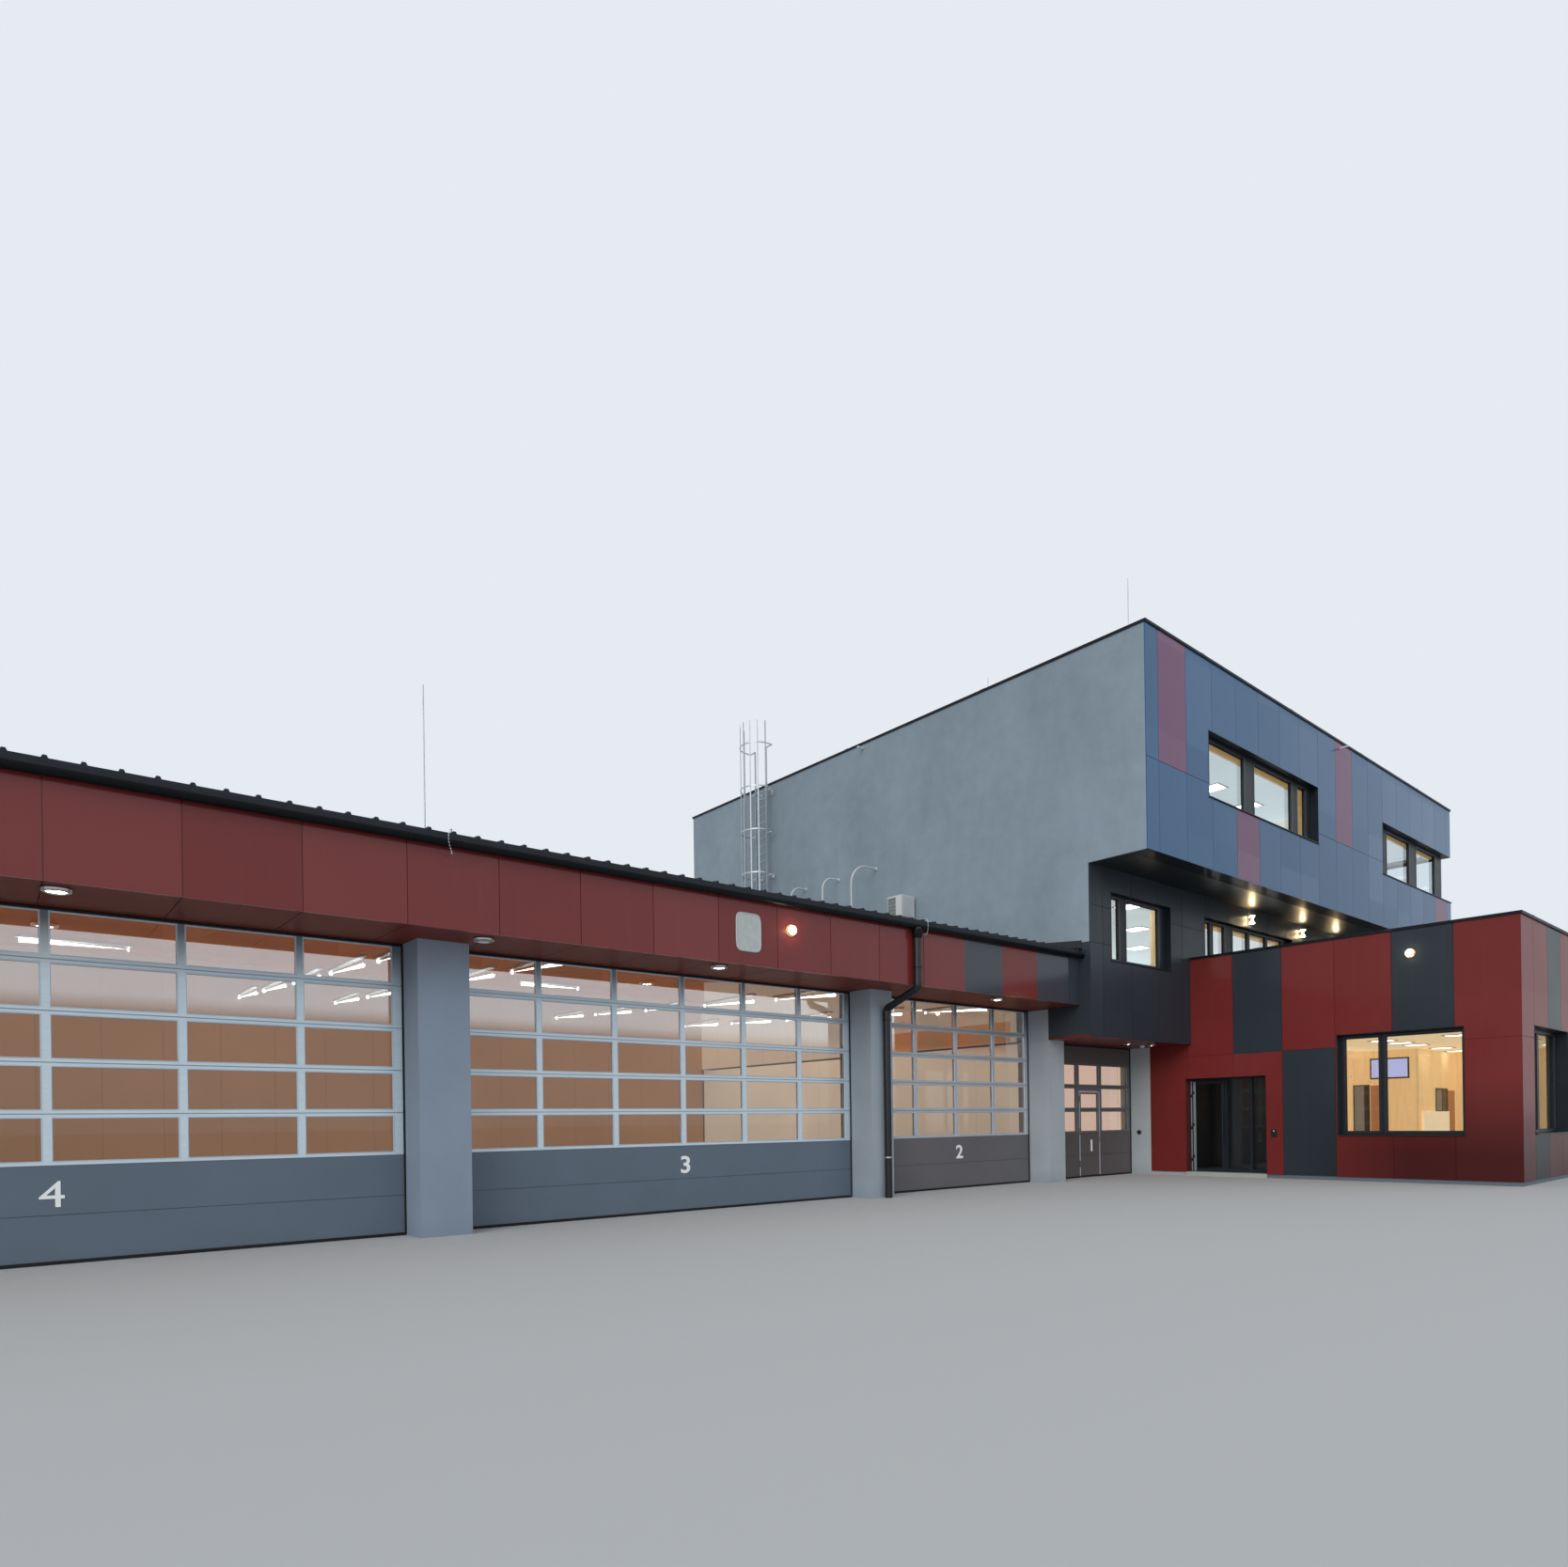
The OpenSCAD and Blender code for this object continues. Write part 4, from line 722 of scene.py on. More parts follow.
class StationFinishes(bpy.types.Operator):
    """Puts the facade, roof, door and window finishes on the building"""
    bl_idname = "station.finishes"
    bl_label = "Finishes"

    def execute(self, context):
        c = context.scene.station_colours
        paint(panel_finish("fascia_red", shade(c.red, 0.95), *FASCIA_GRID, coat=0.8), "fascia_red")
        paint(panel_finish("fascia_dark", shade(c.dark, 1.3), *FASCIA_GRID, coat=0.8),
              "fascia_dark")
        paint(canopy_finish("canopy_underside"), "canopy")
        # Painted shade: the lower soffit's red is a darker copy of the panel red
        paint(panel_finish("soffit_red", shade(c.red, 0.75), FASCIA_GRID[0], CORNER[0]),
              "lower_soffit")
        # The block's panels carry painted shade at their foot
        paint(panel_finish("block_red", c.red, *BLOCK_GRID, foot=0.72), "block_cladding_red")
        paint(panel_finish("block_dark", c.dark, *BLOCK_GRID, foot=0.72), "block_cladding_dark")
        paint(panel_finish("tower_dark", c.dark, *TOWER_GRID, coat=0.36, gloss=0.32),
              "lower_cladding")
        # Painted shade: the upper soffit and the front walls' undersides are darker copies of the
        # dark panel colour
        paint(panel_finish("soffit_dark", shade(c.dark, 0.35), *TOWER_GRID, coat=1.0, gloss=0.33),
              "upper_soffit")
        paint(panel_finish("wall_dark", shade(c.dark, 0.4), *TOWER_GRID),
              "lower_front_wall upper_front_wall")
        # The upper panels' bluish base is partly a painted reflection of the sky
        paint(panel_finish("tower_upper", c.upper, *TOWER_GRID, coat=0.6), "upper_cladding_dark")
        paint(panel_finish("tower_red", c.upper_red, *TOWER_GRID, coat=0.6), "upper_cladding_red")
        paint(plaster_finish("render", c.render),
              "tower_left_wall tower_right_wall tower_back_wall hall_left_wall hall_back_wall")
        paint(concrete_finish("pillar_concrete", c.pillar, far=(0.52, 0.57, 0.59)),
              "end_pillar pillar_a pillar_b pillar_c pillar_d door_header")
        paint(concrete_finish("wall_concrete", (0.17, 0.205, 0.235)),
              "block_side_wall_front block_side_wall_head block_front_wall block_right_wall")
        paint(concrete_finish("step_concrete", (0.52, 0.53, 0.5)), "entrance_step")
        paint(concrete_finish("screed", (0.2, 0.2, 0.19), 0.5),
              "hall_floor office_floor first_floor second_floor")
        paint(metal_finish("trim", c.trim, 0.45, gloss=0.22), "tower_coping block_coping")
        paint(metal_finish("frame_paint", FRAME_PAINT, 0.42, gloss=0.3),
              "window_frames entrance_frame entrance_leaf entrance_handle")
        paint(metal_finish("gutter_paint", shade(c.trim, 0.7), 0.4, gloss=0.16), "gutter")
        paint(metal_finish("pipe_paint", shade(c.trim, 1.6), 0.3, gloss=0.45), "downpipe")
        paint(sheet_roof_finish("roof_sheet", shade(c.trim, 3.5)), "hall_roof")
        paint(membrane_finish("membrane", shade(c.trim, 4.5)), "tower_roof block_roof")
        paint(door_finish("bay_door", c.section, c.bar), "bay_door_4 bay_door_3")
        paint(door_finish("bay_door_brown", (0.153, 0.148, 0.16), (0.6, 0.65, 0.7)), "bay_door_2")
        paint(small_door_finish("small_door", (0.128, 0.116, 0.115), SMALL_BAR, SMALL_GLASS_TOP),
              "bay_door_1_sides bay_door_1_head wicket_leaf")
        paint(metal_finish("galvanised", (0.5, 0.53, 0.55), 0.4, 0.7),
              "roof_ladder ladder_cage lightning_rods")
        paint(metal_finish("brushed", (0.6, 0.6, 0.58), 0.28, 0.9), "wicket_handle")
        paint(metal_finish("unit_case", (0.7, 0.72, 0.72), 0.5), "outdoor_unit wall_pipes")
        paint(timber_finish("beam_timber", c.timber, "Y", 0.55), "roof_beams")
        paint(glass_finish("window_glass", (0.88, 0.94, 0.96)), "window_glass entrance_leaf_glass")
        return {"FINISHED"}


class StationDoors(bpy.types.Operator):
    """Adds the panes, beads, seals and numbers of the bay doors, and the wicket's stiles"""
    bl_idname = "station.doors"
    bl_label = "Bay doors"

    def execute(self, context):
        c, s = context.scene.station_colours, context.scene.station_sizes
        b = s.bead
        bead = [(-0.002, 0.0), (0, 0.0012), (b * 0.6, 0.001), (b, -0.003), (b, -0.0095),
                (-0.002, -0.0095)]
        rubber = rubber_finish("seal_rubber")
        pale = metal_finish("pale_edge", shade(c.bar, 0.8), 0.35, 0.3)
        grey = metal_finish("grey_edge", SMALL_BAR, 0.35, 0.3)
        glass = glass_finish("bay_glass", (0.9, 0.95, 0.96), 1.49)

        cells = np.concatenate([door_panes(*door) for door in WIDE_DOORS])
        small = [(x0, GLASS_LOW + k * PANE + BAR / 2, x1, GLASS_LOW + (k + 1) * PANE - BAR / 2)
                 for x0, x1 in ((0.392, 1.0445), (1.6195, 2.272)) for k in range(3)]
        small.append((1.0945, 1.207, 1.5695, 1.468))
        leaf = [(1.1315, 0.601, 1.5325, 0.862), (1.1315, 0.904, 1.5325, 1.095)]
        for name, rects, finish, body in (("door_beads", cells, pale, "building"),
                                          ("small_door_beads", small, grey, "building"),
                                          ("wicket_beads", leaf, grey, "wicket")):
            put(name, frames("front", 0.0, rects, bead), finish, body)
        panes = [(x0 + 0.001, 0.01, z0 + 0.001, x1 - 0.001, 0.018, z1 - 0.001)
                 for x0, z0, x1, z1 in [*cells, *small, *leaf]]
        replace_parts(boxed("door_panes", panes[:-2], glass, 0.0006), "bay_door_glass")
        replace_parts(boxed("wicket_panes", panes[-2:], glass, 0.0006, "wicket"),
                    "wicket_glass")
        boxed("pane_rests", [(x0 + 0.002, 0.018, z0 - 0.001, x1 - 0.002, 0.039, z0 + 0.006)
                             for x0, z0, x1, z1 in cells], pale, 0.001)

        # Seals under the doors, then up both sides and along the head of each
        seals = [(x0, -0.008, 0.002, x1, 0.0, 0.022) for x0, x1 in
                 [(x, x + w) for x, w, _ in WIDE_DOORS] + [(0.317, 1.085), (1.579, 2.347)]]
        for x, w, top in [(x, w, DOOR_TOP) for x, w, _ in WIDE_DOORS] + [SMALL_DOOR]:
            seals += [(x + 0.001, -0.012, 0.022, x + 0.013, 0.0, top - 0.002),
                      (x + w - 0.013, -0.012, 0.022, x + w - 0.001, 0.0, top - 0.002),
                      (x + 0.013, -0.012, top - 0.014, x + w - 0.013, 0.0, top - 0.002)]
        boxed("door_seals", seals, rubber, 0.003)
        boxed("wicket_seal", [(1.094, -0.006, 0.01, 1.57, 0.0, 0.026)], rubber,
              0.003, "wicket")
        boxed("wicket_stiles", [(1.0925, -0.004, 0.026, 1.1085, 0.0, 1.124),
                                (1.5555, -0.004, 0.026, 1.5715, 0.0, 1.124),
                                (1.1085, -0.004, 1.108, 1.5555, 0.0, 1.124)],
              pale, 0.0012, "wicket")

        # The white numbers glow faintly: painted light, for they are no lamps
        white = glow_finish("number_painted_glow", (0.93, 0.95, 0.95), 0.12)
        for text, x, body in (("4", -9.532, "building"), ("3", -5.072, "building"),
                              ("2", -1.323, "building"), ("1", 1.368, "wicket")):
            put("number_" + text, figure(text, x, 0.414, s.number_height, 0.0), white,
                body)
        return {"FINISHED"}


class StationWindows(bpy.types.Operator):
    """Adds the sashes and seals of the windows"""
    bl_idname = "station.windows"
    bl_label = "Windows"

    def execute(self, context):
        w = context.scene.station_sizes.sash
        sash = [(-w, 0.0), (0.08 * w - w, 0.006), (-0.002, 0.006), (0.003, 0.001), (0.003, -0.03),
                (-0.002, -0.03), (-0.002, -0.002)]
        seal = [(0.002, -0.014), (0.007, -0.018), (0.007, -0.037), (0.002, -0.037)]
        trim, rubber = metal_finish("sash_dark", FRAME_PAINT, 0.32), rubber_finish("window_rubber")
        groups = [("front", plane, [(a, low, b, high) for a, b in lights])
                  for plane, low, high, lights in FRONT_LIGHTS]
        groups += [("left", 2.467, SIDE_LIGHTS), ("right", 10.41, [(-1.397, 4.609, 0.011, 5.345)])]
        for name, profile, finish in (("sashes", sash, trim), ("seals", seal, rubber)):
            put("window_" + name, together(*[frames(*group, profile) for group in groups]),
                finish)
        return {"FINISHED"}


class StationLamps(bpy.types.Operator):
    """Adds the outside lamps, the sensor, the plaque, the card reader and the pillar's head"""
    bl_idname = "station.lamps"
    bl_label = "Outside lamps"

    def execute(self, context):
        c, s = context.scene.station_colours, context.scene.station_sizes
        r = s.lamp_radius
        chrome = metal_finish("chrome", (0.62, 0.63, 0.63), 0.16, 1.0)
        black = metal_finish("lamp_black", (0.014, 0.014, 0.015), 0.3)

        # Lamps under the canopy, of which the one at a pillar is off, and over the small door
        under = [(x, -0.555, DOOR_TOP) for x in (-9.52, -5.08, -1.32)]
        off = [(-7.125, -0.555, DOOR_TOP)]
        red_soffit = [(1.318, -0.575, 1.72), (1.818, -0.617, 1.72)]
        ring = [(0.76 * r, 0.0), (r, 0.0), (1.05 * r, 0.006), (r, 0.018), (0.8 * r, 0.024),
                (0.74 * r, 0.016)]
        face = [(0.76 * r, 0.002), (0.74 * r, 0.012), (0.55 * r, 0.018), (0.28 * r, 0.021),
                (0.05 * r, 0.022)]
        smaller = (0.72, 1.0)
        put("lamp_rings", together(turned("below", under + off, ring, True),
                                   turned("below", red_soffit, np.array(ring) * smaller, True)),
            chrome, smooth=True)
        lamp("lamp_faces", together(turned("below", under, face),
                                    turned("below", red_soffit, np.array(face) * smaller)),
             "lamp_soft", (1.0, 0.86, 0.64), 22.0)
        lamp("lamp_face_off", turned("below", off, face), "lamp_unlit", (0.5, 0.52, 0.52), 0.0)

        # Round lights on the wall under the overhang, each on a black back plate
        at = np.array([(4.1, -0.92, 3.572), (5.84, -0.92, 3.58), (7.145, -0.92, 3.586)])
        lamp("wall_light_glasses", rods(at - (0, 0, 0.054), at + (0, 0, 0.054), 0.032, 20),
             "lamp_warm", c.lamplight, 42.0)
        boxed("wall_light_backs", np.stack([at + (-0.042, 0.032, -0.066),
                                            at + (0.042, 0.04, 0.066)], 1),
              black, 0.003)
        lamp("soffit_sensor", turned("below", [(1.932, -0.422, 1.72)],
                                     [(0.034, 0.0), (0.036, 0.008), (0.028, 0.02),
                                      (0.016, 0.027), (0.004, 0.03)]),
             "sensor_white", (0.8, 0.81, 0.8), 0.0)

        # Fascia lamp and wall lamp: a black base, a round lens that glows, and its warm rim
        places = (("front", [(-4.435, 2.44, -CANOPY)]), ("left", [(-3.404, 2.557, BLOCK_LEFT)]))
        for name, profile, closed, finish, slot in (
                ("bases", [(0.036, 0.0), (0.046, 0.002), (0.048, 0.016), (0.04, 0.022),
                           (0.036, 0.018)], True, black, "dark_metal"),
                ("lenses", [(0.04, 0.006), (0.041, 0.02), (0.036, 0.034), (0.024, 0.044),
                            (0.01, 0.049), (0.002, 0.05)], False,
                 glow_finish("lamp_bright", (1.0, 0.82, 0.54), 40.0), "white_case"),
                ("rims", [(0.0495, 0.0), (0.052, 0.006), (0.05, 0.014), (0.0485, 0.006)], True,
                 glow_finish("lamp_rim", (1.0, 0.5, 0.17), 1.3), "white_case")):
            put("wall_lamp_" + name,
                together(*[turned(side, at, profile, closed) for side, at in places]),
                finish, smooth=True)
        put("blank_plaque", plate("front", -CANOPY, (-4.902, 2.369), (0.133, 0.163),
                                  [(1.0, 0.0), (1.0, 0.006), (0.97, 0.01), (0.94, 0.01),
                                   (0.92, 0.006), (0.05, 0.006)]),
            plaque_finish("plaque_pale"))
        boxed("pillar_head", [(-0.005, -0.3, 1.7, 0.0, -0.012, 2.088)],
              concrete_finish("head_concrete", (0.415, 0.475, 0.51)), 0.0015)

        # Card reader beside the entrance, and the round key switch on the pillar
        boxed("card_reader", [(2.331, -1.95, 0.51, BLOCK_LEFT, -1.886, 0.602),
                              (2.328, -1.936, 0.524, 2.333, -1.9, 0.56)],
              black, 0.003)
        lamp("reader_light", turned("left", [(-1.918, 0.584, 2.331)],
                                    [(0.006, 0.0), (0.005, 0.002), (0.001, 0.003)], sides=14),
             "reader_blue", (0.35, 0.55, 1.0), 1.5)
        put("key_switch", turned("left", [(-0.13, 0.57, BLOCK_LEFT)],
                                 [(0.03, 0.0), (0.031, 0.01), (0.025, 0.014), (0.012, 0.014),
                                  (0.01, 0.01), (0.002, 0.01)]),
            black, smooth=True)
        return {"FINISHED"}


class StationHall(bpy.types.Operator):
    """Adds the lamplit linings and lamp tubes of the vehicle hall and the small bay"""
    bl_idname = "station.hall"
    bl_label = "Hall inside"

    def execute(self, context):
        c, s = context.scene.station_colours, context.scene.station_sizes
        front, back, foot, pitch = 0.16, 6.885, 0.031, SHEET
        inner = (front, back - 0.02)
        # Linings glow with painted lamplight; side and far walls are darker, dimmer copies:
        # painted shade
        put("hall_back_lining", along_roof((back - 0.02, back), 0, -0.02, -11.93, -0.01, foot),
            lit_finish("hall_wall", c.wall, 0.38, pitch, "X"))
        put("hall_side_linings", along_roof(inner, 0, -0.02, -11.935, -11.925, foot),
            lit_finish("hall_side_wall", shade(c.wall, 0.85), 0.36, pitch, "Y"))
        put("tower_side_lining", along_roof(inner, 0, -0.02, -0.016, -0.006, 1.728),
            lit_finish("tower_side", (0.62, 0.49, 0.36), 0.5, pitch, "Y"))
        boxed("tower_side_beam", [(-0.06, 0.24, 1.732, -0.018, 2.9, 1.985)],
              timber_finish("side_beam_timber", (0.56, 0.25, 0.095), "Y", 0.56), 0.004)
        put("hall_ceiling", along_roof((front, back), -0.018, -0.002, -11.93, -0.005),
            timber_finish("ceiling_boards", c.timber, "Y", 0.6))
        boxed("hall_edge_beams", [(-11.925, 0.155, 2.16, -0.02, 0.235, 2.66),
                                  (-11.925, 6.76, 2.9, -0.02, 6.862, 3.32)],
              timber_finish("edge_beam_timber", c.timber, "X", 0.5), 0.006)
        boxed("small_bay_linings", [(2.336, 0.16, foot, 2.346, 1.75, 1.945),
                                    (0.205, 0.152, 1.938, 2.336, 6.828, 1.948)],
              lit_finish("small_bay_wall", (0.7, 0.51, 0.42), 0.76, pitch, "Y"))
        boxed("small_bay_far_linings", [(2.336, 1.75, foot, 2.346, 6.84, 1.945),
                                        (0.0, 6.828, foot, 2.336, 6.84, 1.945)],
              lit_finish("small_bay_far_wall", (0.6, 0.5, 0.39), 0.45, pitch, "Y"))

        # Lamp tubes in rows that rise with the roof, and two across; each row has its first tube
        near = np.array((0.3, 1.7, 3.08, 4.465, 5.845))
        starts, ends = [], []
        for x, first in ((-11.0, 0.3), (-7.27, 0.3), (-6.15, 0.16), (-2.85, 0.41), (-0.42, 0.3)):
            y = near + first - near[0]
            y = y[y > 0.1]
            for row, at in ((starts, y), (ends, np.minimum(y + s.tube, 6.8))):
                height = 2.15 + (at - 0.88) * 0.054
                row.append(np.column_stack([np.full(len(y), x), at, height]))
        starts.append(np.array([(-5.52, 2.3, 2.25), (-9.6, 2.3, 2.25)]))
        ends.append(np.array([(-4.87, 2.3, 2.25), (-8.9, 2.3, 2.25)]))
        starts, ends = np.concatenate(starts), np.concatenate(ends)
        lamp("lamp_tubes", rods(starts, ends, 0.017), "tube_light", (1.0, 0.97, 0.9), 7.0)
        low, high = np.minimum(starts, ends), np.maximum(starts, ends)
        trays = np.stack([low + (-0.03, -0.03, 0.02), high + (0.03, 0.03, 0.045)], 1)
        trays[:, 0, 2] = high[:, 2] + 0.02
        boxed("lamp_trays", trays, metal_finish("tray_white", (0.62, 0.62, 0.6)),
              0.004)
        return {"FINISHED"}


class StationRooms(bpy.types.Operator):
    """Adds the lamplit rooms behind the windows, and the linings of the entrance"""
    bl_idname = "station.rooms"
    bl_label = "Rooms inside"

    def execute(self, context):
        c = context.scene.station_colours
        ply = ply_finish("room_ply", c.ply, 0.52)

        # Ground floor: the room behind the block's windows
        foot, head = 0.052, 1.84
        boxed("office_panelling", [
            (8.2, -1.738, foot, 8.212, 0.6, head), (8.212, -1.752, foot, 10.1, -1.74, head),
            (10.1, -4.18, foot, 10.112, -1.74, head), (2.575, 0.6, foot, 8.212, 0.612, head),
            (2.563, -0.78, foot, 2.575, 0.612, head), (2.575, -0.884, 1.706, 8.2, -0.869, head),
            (2.575, -0.869, 1.706, 8.2, -0.65, 1.716)], ply)
        boxed("office_ceiling", [(2.563, -4.185, head, 10.35, 0.612, 1.852)],
              ply_finish("room_ceiling", (0.82, 0.64, 0.38), 0.66))
        boxed("office_carpet", [(2.563, -4.185, 0.0505, 10.35, 0.612, 0.058)],
              lit_finish("room_floor", (0.3, 0.26, 0.22), 0.28, 0.6, "Y"), 0.001)
        boxed("office_screen", [(8.188, -1.6, 1.385, 8.192, -1.065, 1.685)],
              glow_finish("screen_blue", (0.4, 0.45, 0.82), 0.72))
        put("office_dark_frames", together(
            frames("left", 8.199, [(-1.625, 1.36, -1.04, 1.71)],
                   [(0, 0), (0.012, 0.01), (0.024, 0.01), (0.026, 0.0)]),
            frames("left", 8.199, [(-1.032, 0.06, -0.78, 1.27)],
                   [(0, 0), (0, 0.012), (0.016, 0.012), (0.016, 0.0)]),
            frames("front", -1.753, [(9.04, 0.79, 9.65, 1.2)],
                   [(0, 0), (0, 0.012), (0.026, 0.012), (0.026, 0.0)]),
            slabs([(8.19, -1.02, 0.062, 8.196, -0.948, 1.25),
                   (9.36, -1.762, 0.8, 9.64, -1.756, 1.19)])),
            metal_finish("room_dark", (0.03, 0.026, 0.024), 0.35))
        boxed("office_door_panes", [(8.194, -1.03, 0.062, 8.198, -0.79, 1.256),
                                    (9.06, -1.758, 0.8, 9.64, -1.754, 1.19)],
              lit_finish("pane_dim", (0.17, 0.145, 0.115), 0.55, 0.055, "Y"))
        boxed("office_doors", [(8.19, -1.172, 0.062, 8.198, -1.046, 1.256),
                               (9.69, -1.764, 0.06, 10.04, -1.754, 1.165)],
              timber_finish("door_brown", (0.34, 0.145, 0.06), "Z", 0.55))
        boxed("office_counter", [(8.34, -1.79, 0.06, 9.64, -1.77, 0.803)],
              lit_finish("room_cream", (0.78, 0.65, 0.45), 0.6, 0.13, "X"))

        # A dim vestibule behind the entrance: far wall, both sides, ceiling and floor
        x0, x1, y0, y1 = 2.565, 3.4, -2.008, -0.702
        boxed("vestibule", [
            (x1, y0 - 0.012, 0.06, x1 + 0.012, y1 + 0.012, 1.838),
            (x0, y0 - 0.012, 0.06, x1, y0, 1.838), (x0, y1, 0.06, x1, y1 + 0.012, 1.838),
            (x0, y0, 1.826, x1, y1, 1.838), (x0, y0, 0.059, x1, y1, 0.064)],
            lit_finish("vestibule_dim", (0.02, 0.017, 0.016), 0.1, 0.9, "Z"))

        # The entrance's dark red reveal, its red darkened to paint the shade in the recess, and
        # pale strips that paint the sheen of the light on the faces of its jamb and of the leaf's
        # edge
        boxed("entrance_reveal", [
            (2.349, -0.7985, foot, 2.481, -0.7955, 1.268),
            (2.349, -1.8235, foot, 2.481, -1.8205, 1.268),
            (2.349, -1.8205, 1.2685, 2.481, -0.7985, 1.2715)],
            panel_finish("reveal_red", shade(c.red, 0.45), 0.595, CORNER[1]),
            0.0008)
        # Painted sheen: pale strips on the dark frame's jamb and leaf edge
        painted_sheen = metal_finish("jamb_painted_sheen", (0.3, 0.36, 0.37), 0.35, 0.2)
        x0, x1 = 2.4792, 2.4818
        boxed("jamb_face", [(x0, -0.814, 0.06, x1, -0.799, 1.245)], painted_sheen, 0.0008)
        boxed("leaf_face", [(x0, -0.84, 0.06, x1, -0.831, 1.235),
                            (x0, -0.864, 0.06, x1, -0.8405, 1.235)],
              painted_sheen, 0.0008, "entrance_door")

        # First floor: a pale room behind the narrow window, white curtains behind the long one
        foot, head = 2.11, 3.5
        boxed("first_room", [
            (0.212, 2.0, foot, 10.34, 2.012, head), (0.206, -0.66, foot, 0.216, 2.0, head),
            (5.9, -0.66, foot, 5.912, 2.0, head)],
            lit_finish("first_room_cool", (0.56, 0.64, 0.66), 0.72, 0.6, "X"))
        boxed("first_ceiling", [(0.212, -0.66, head, 10.35, 2.012, 3.512)],
              lit_finish("first_ceiling_white", (0.6, 0.62, 0.6), 0.75, 0.6, "X"))
        boxed("first_jambs", [(1.842, -0.762, 2.64, 1.8545, -0.6, 3.45),
                              (0.452, -0.762, 2.64, 0.464, -0.6, 3.45)], ply)
        # The cloth's distance is a sum of two sines of the place along it, and fades upwards
        u, v = np.linspace(2.79, 5.505, 420), np.linspace(2.645, 3.352, 12)
        fold = np.sin(u * 2 * np.pi / 0.085) + 0.35 * np.sin(u * 2 * np.pi / 0.031 + 1.0)
        hang = 0.6 + 0.5 * (3.352 - v) / 0.7
        put("curtains", sheet(u, v, -0.715 + 0.011 * fold[:, None] * hang),
            curtain_finish("curtain_white"), smooth=True)
        tan = timber_finish("head_timber", (0.56, 0.34, 0.13), "X", 0.6)
        boxed("curtain_boards", [(2.765, -0.74, 3.352, 5.522, -0.675, 3.446)], tan,
              0.004)

        # Second floor: the room behind the upper and the corner window
        foot, head = 4.06, 5.45
        boxed("second_room", [
            (0.212, 2.5, foot, 10.34, 2.512, head), (0.206, -1.38, foot, 0.216, 2.5, head),
            (6.0, -1.0, foot, 6.012, 2.5, head)],
            lit_finish("room_pale", (0.7, 0.66, 0.58), 0.62, 0.6, "X"))
        boxed("second_ceiling", [(0.212, -1.385, head, 10.345, 2.512, 5.462)],
              lit_finish("ceiling_white", (0.62, 0.72, 0.76), 0.66, 0.6, "X"))
        boxed("window_head_boards", [(1.435, -1.392, 5.372, 4.66, -1.3, head),
                                     (7.18, -1.392, 5.372, 10.345, -1.3, head),
                                     (4.634, -1.456, 4.562, 4.648, -1.3, 5.372)],
              tan, 0.003)

        # Square lamps in the ceilings, by the ceiling's height
        groups = [
            (1.84, squares(0.12, 0.15, (5.8, -2.01), (6.5, -2.02), (7.22, -2.01), (8.45, -2.02),
                            (9.57, -1.93), (4.71, -3.05), (5.65, -2.97), (3.6, -3.3),
                            (7.6, -3.3), (9.2, -3.3))),
            (5.45, squares(0.15, 0.15, (3.65, -0.58), (4.86, -0.55), (6.2, -0.55), (2.44, 0.6),
                            (3.65, 0.6), (7.6, -0.4), (9.0, -0.4))),
            (3.5, squares(0.15, 0.15, (1.55, -0.48), (3.0, 0.25), (4.45, 1.05), (1.55, 1.05)))]
        boxed("panel_lights", [(a, b, z - 0.006, p, q, z - 0.001)
                               for z, rects in groups for a, b, p, q in rects],
              glow_finish("panel_light", (1.0, 0.96, 0.86), 5.0), 0.001)
        edge = [(-0.012, 0.0), (-0.01, 0.008), (0.008, 0.01), (0.012, 0.0)]
        put("panel_light_edges",
            together(*[frames("below", z, rects, edge) for z, rects in groups]),
            metal_finish("panel_edge", (0.5, 0.5, 0.48)))
        return {"FINISHED"}


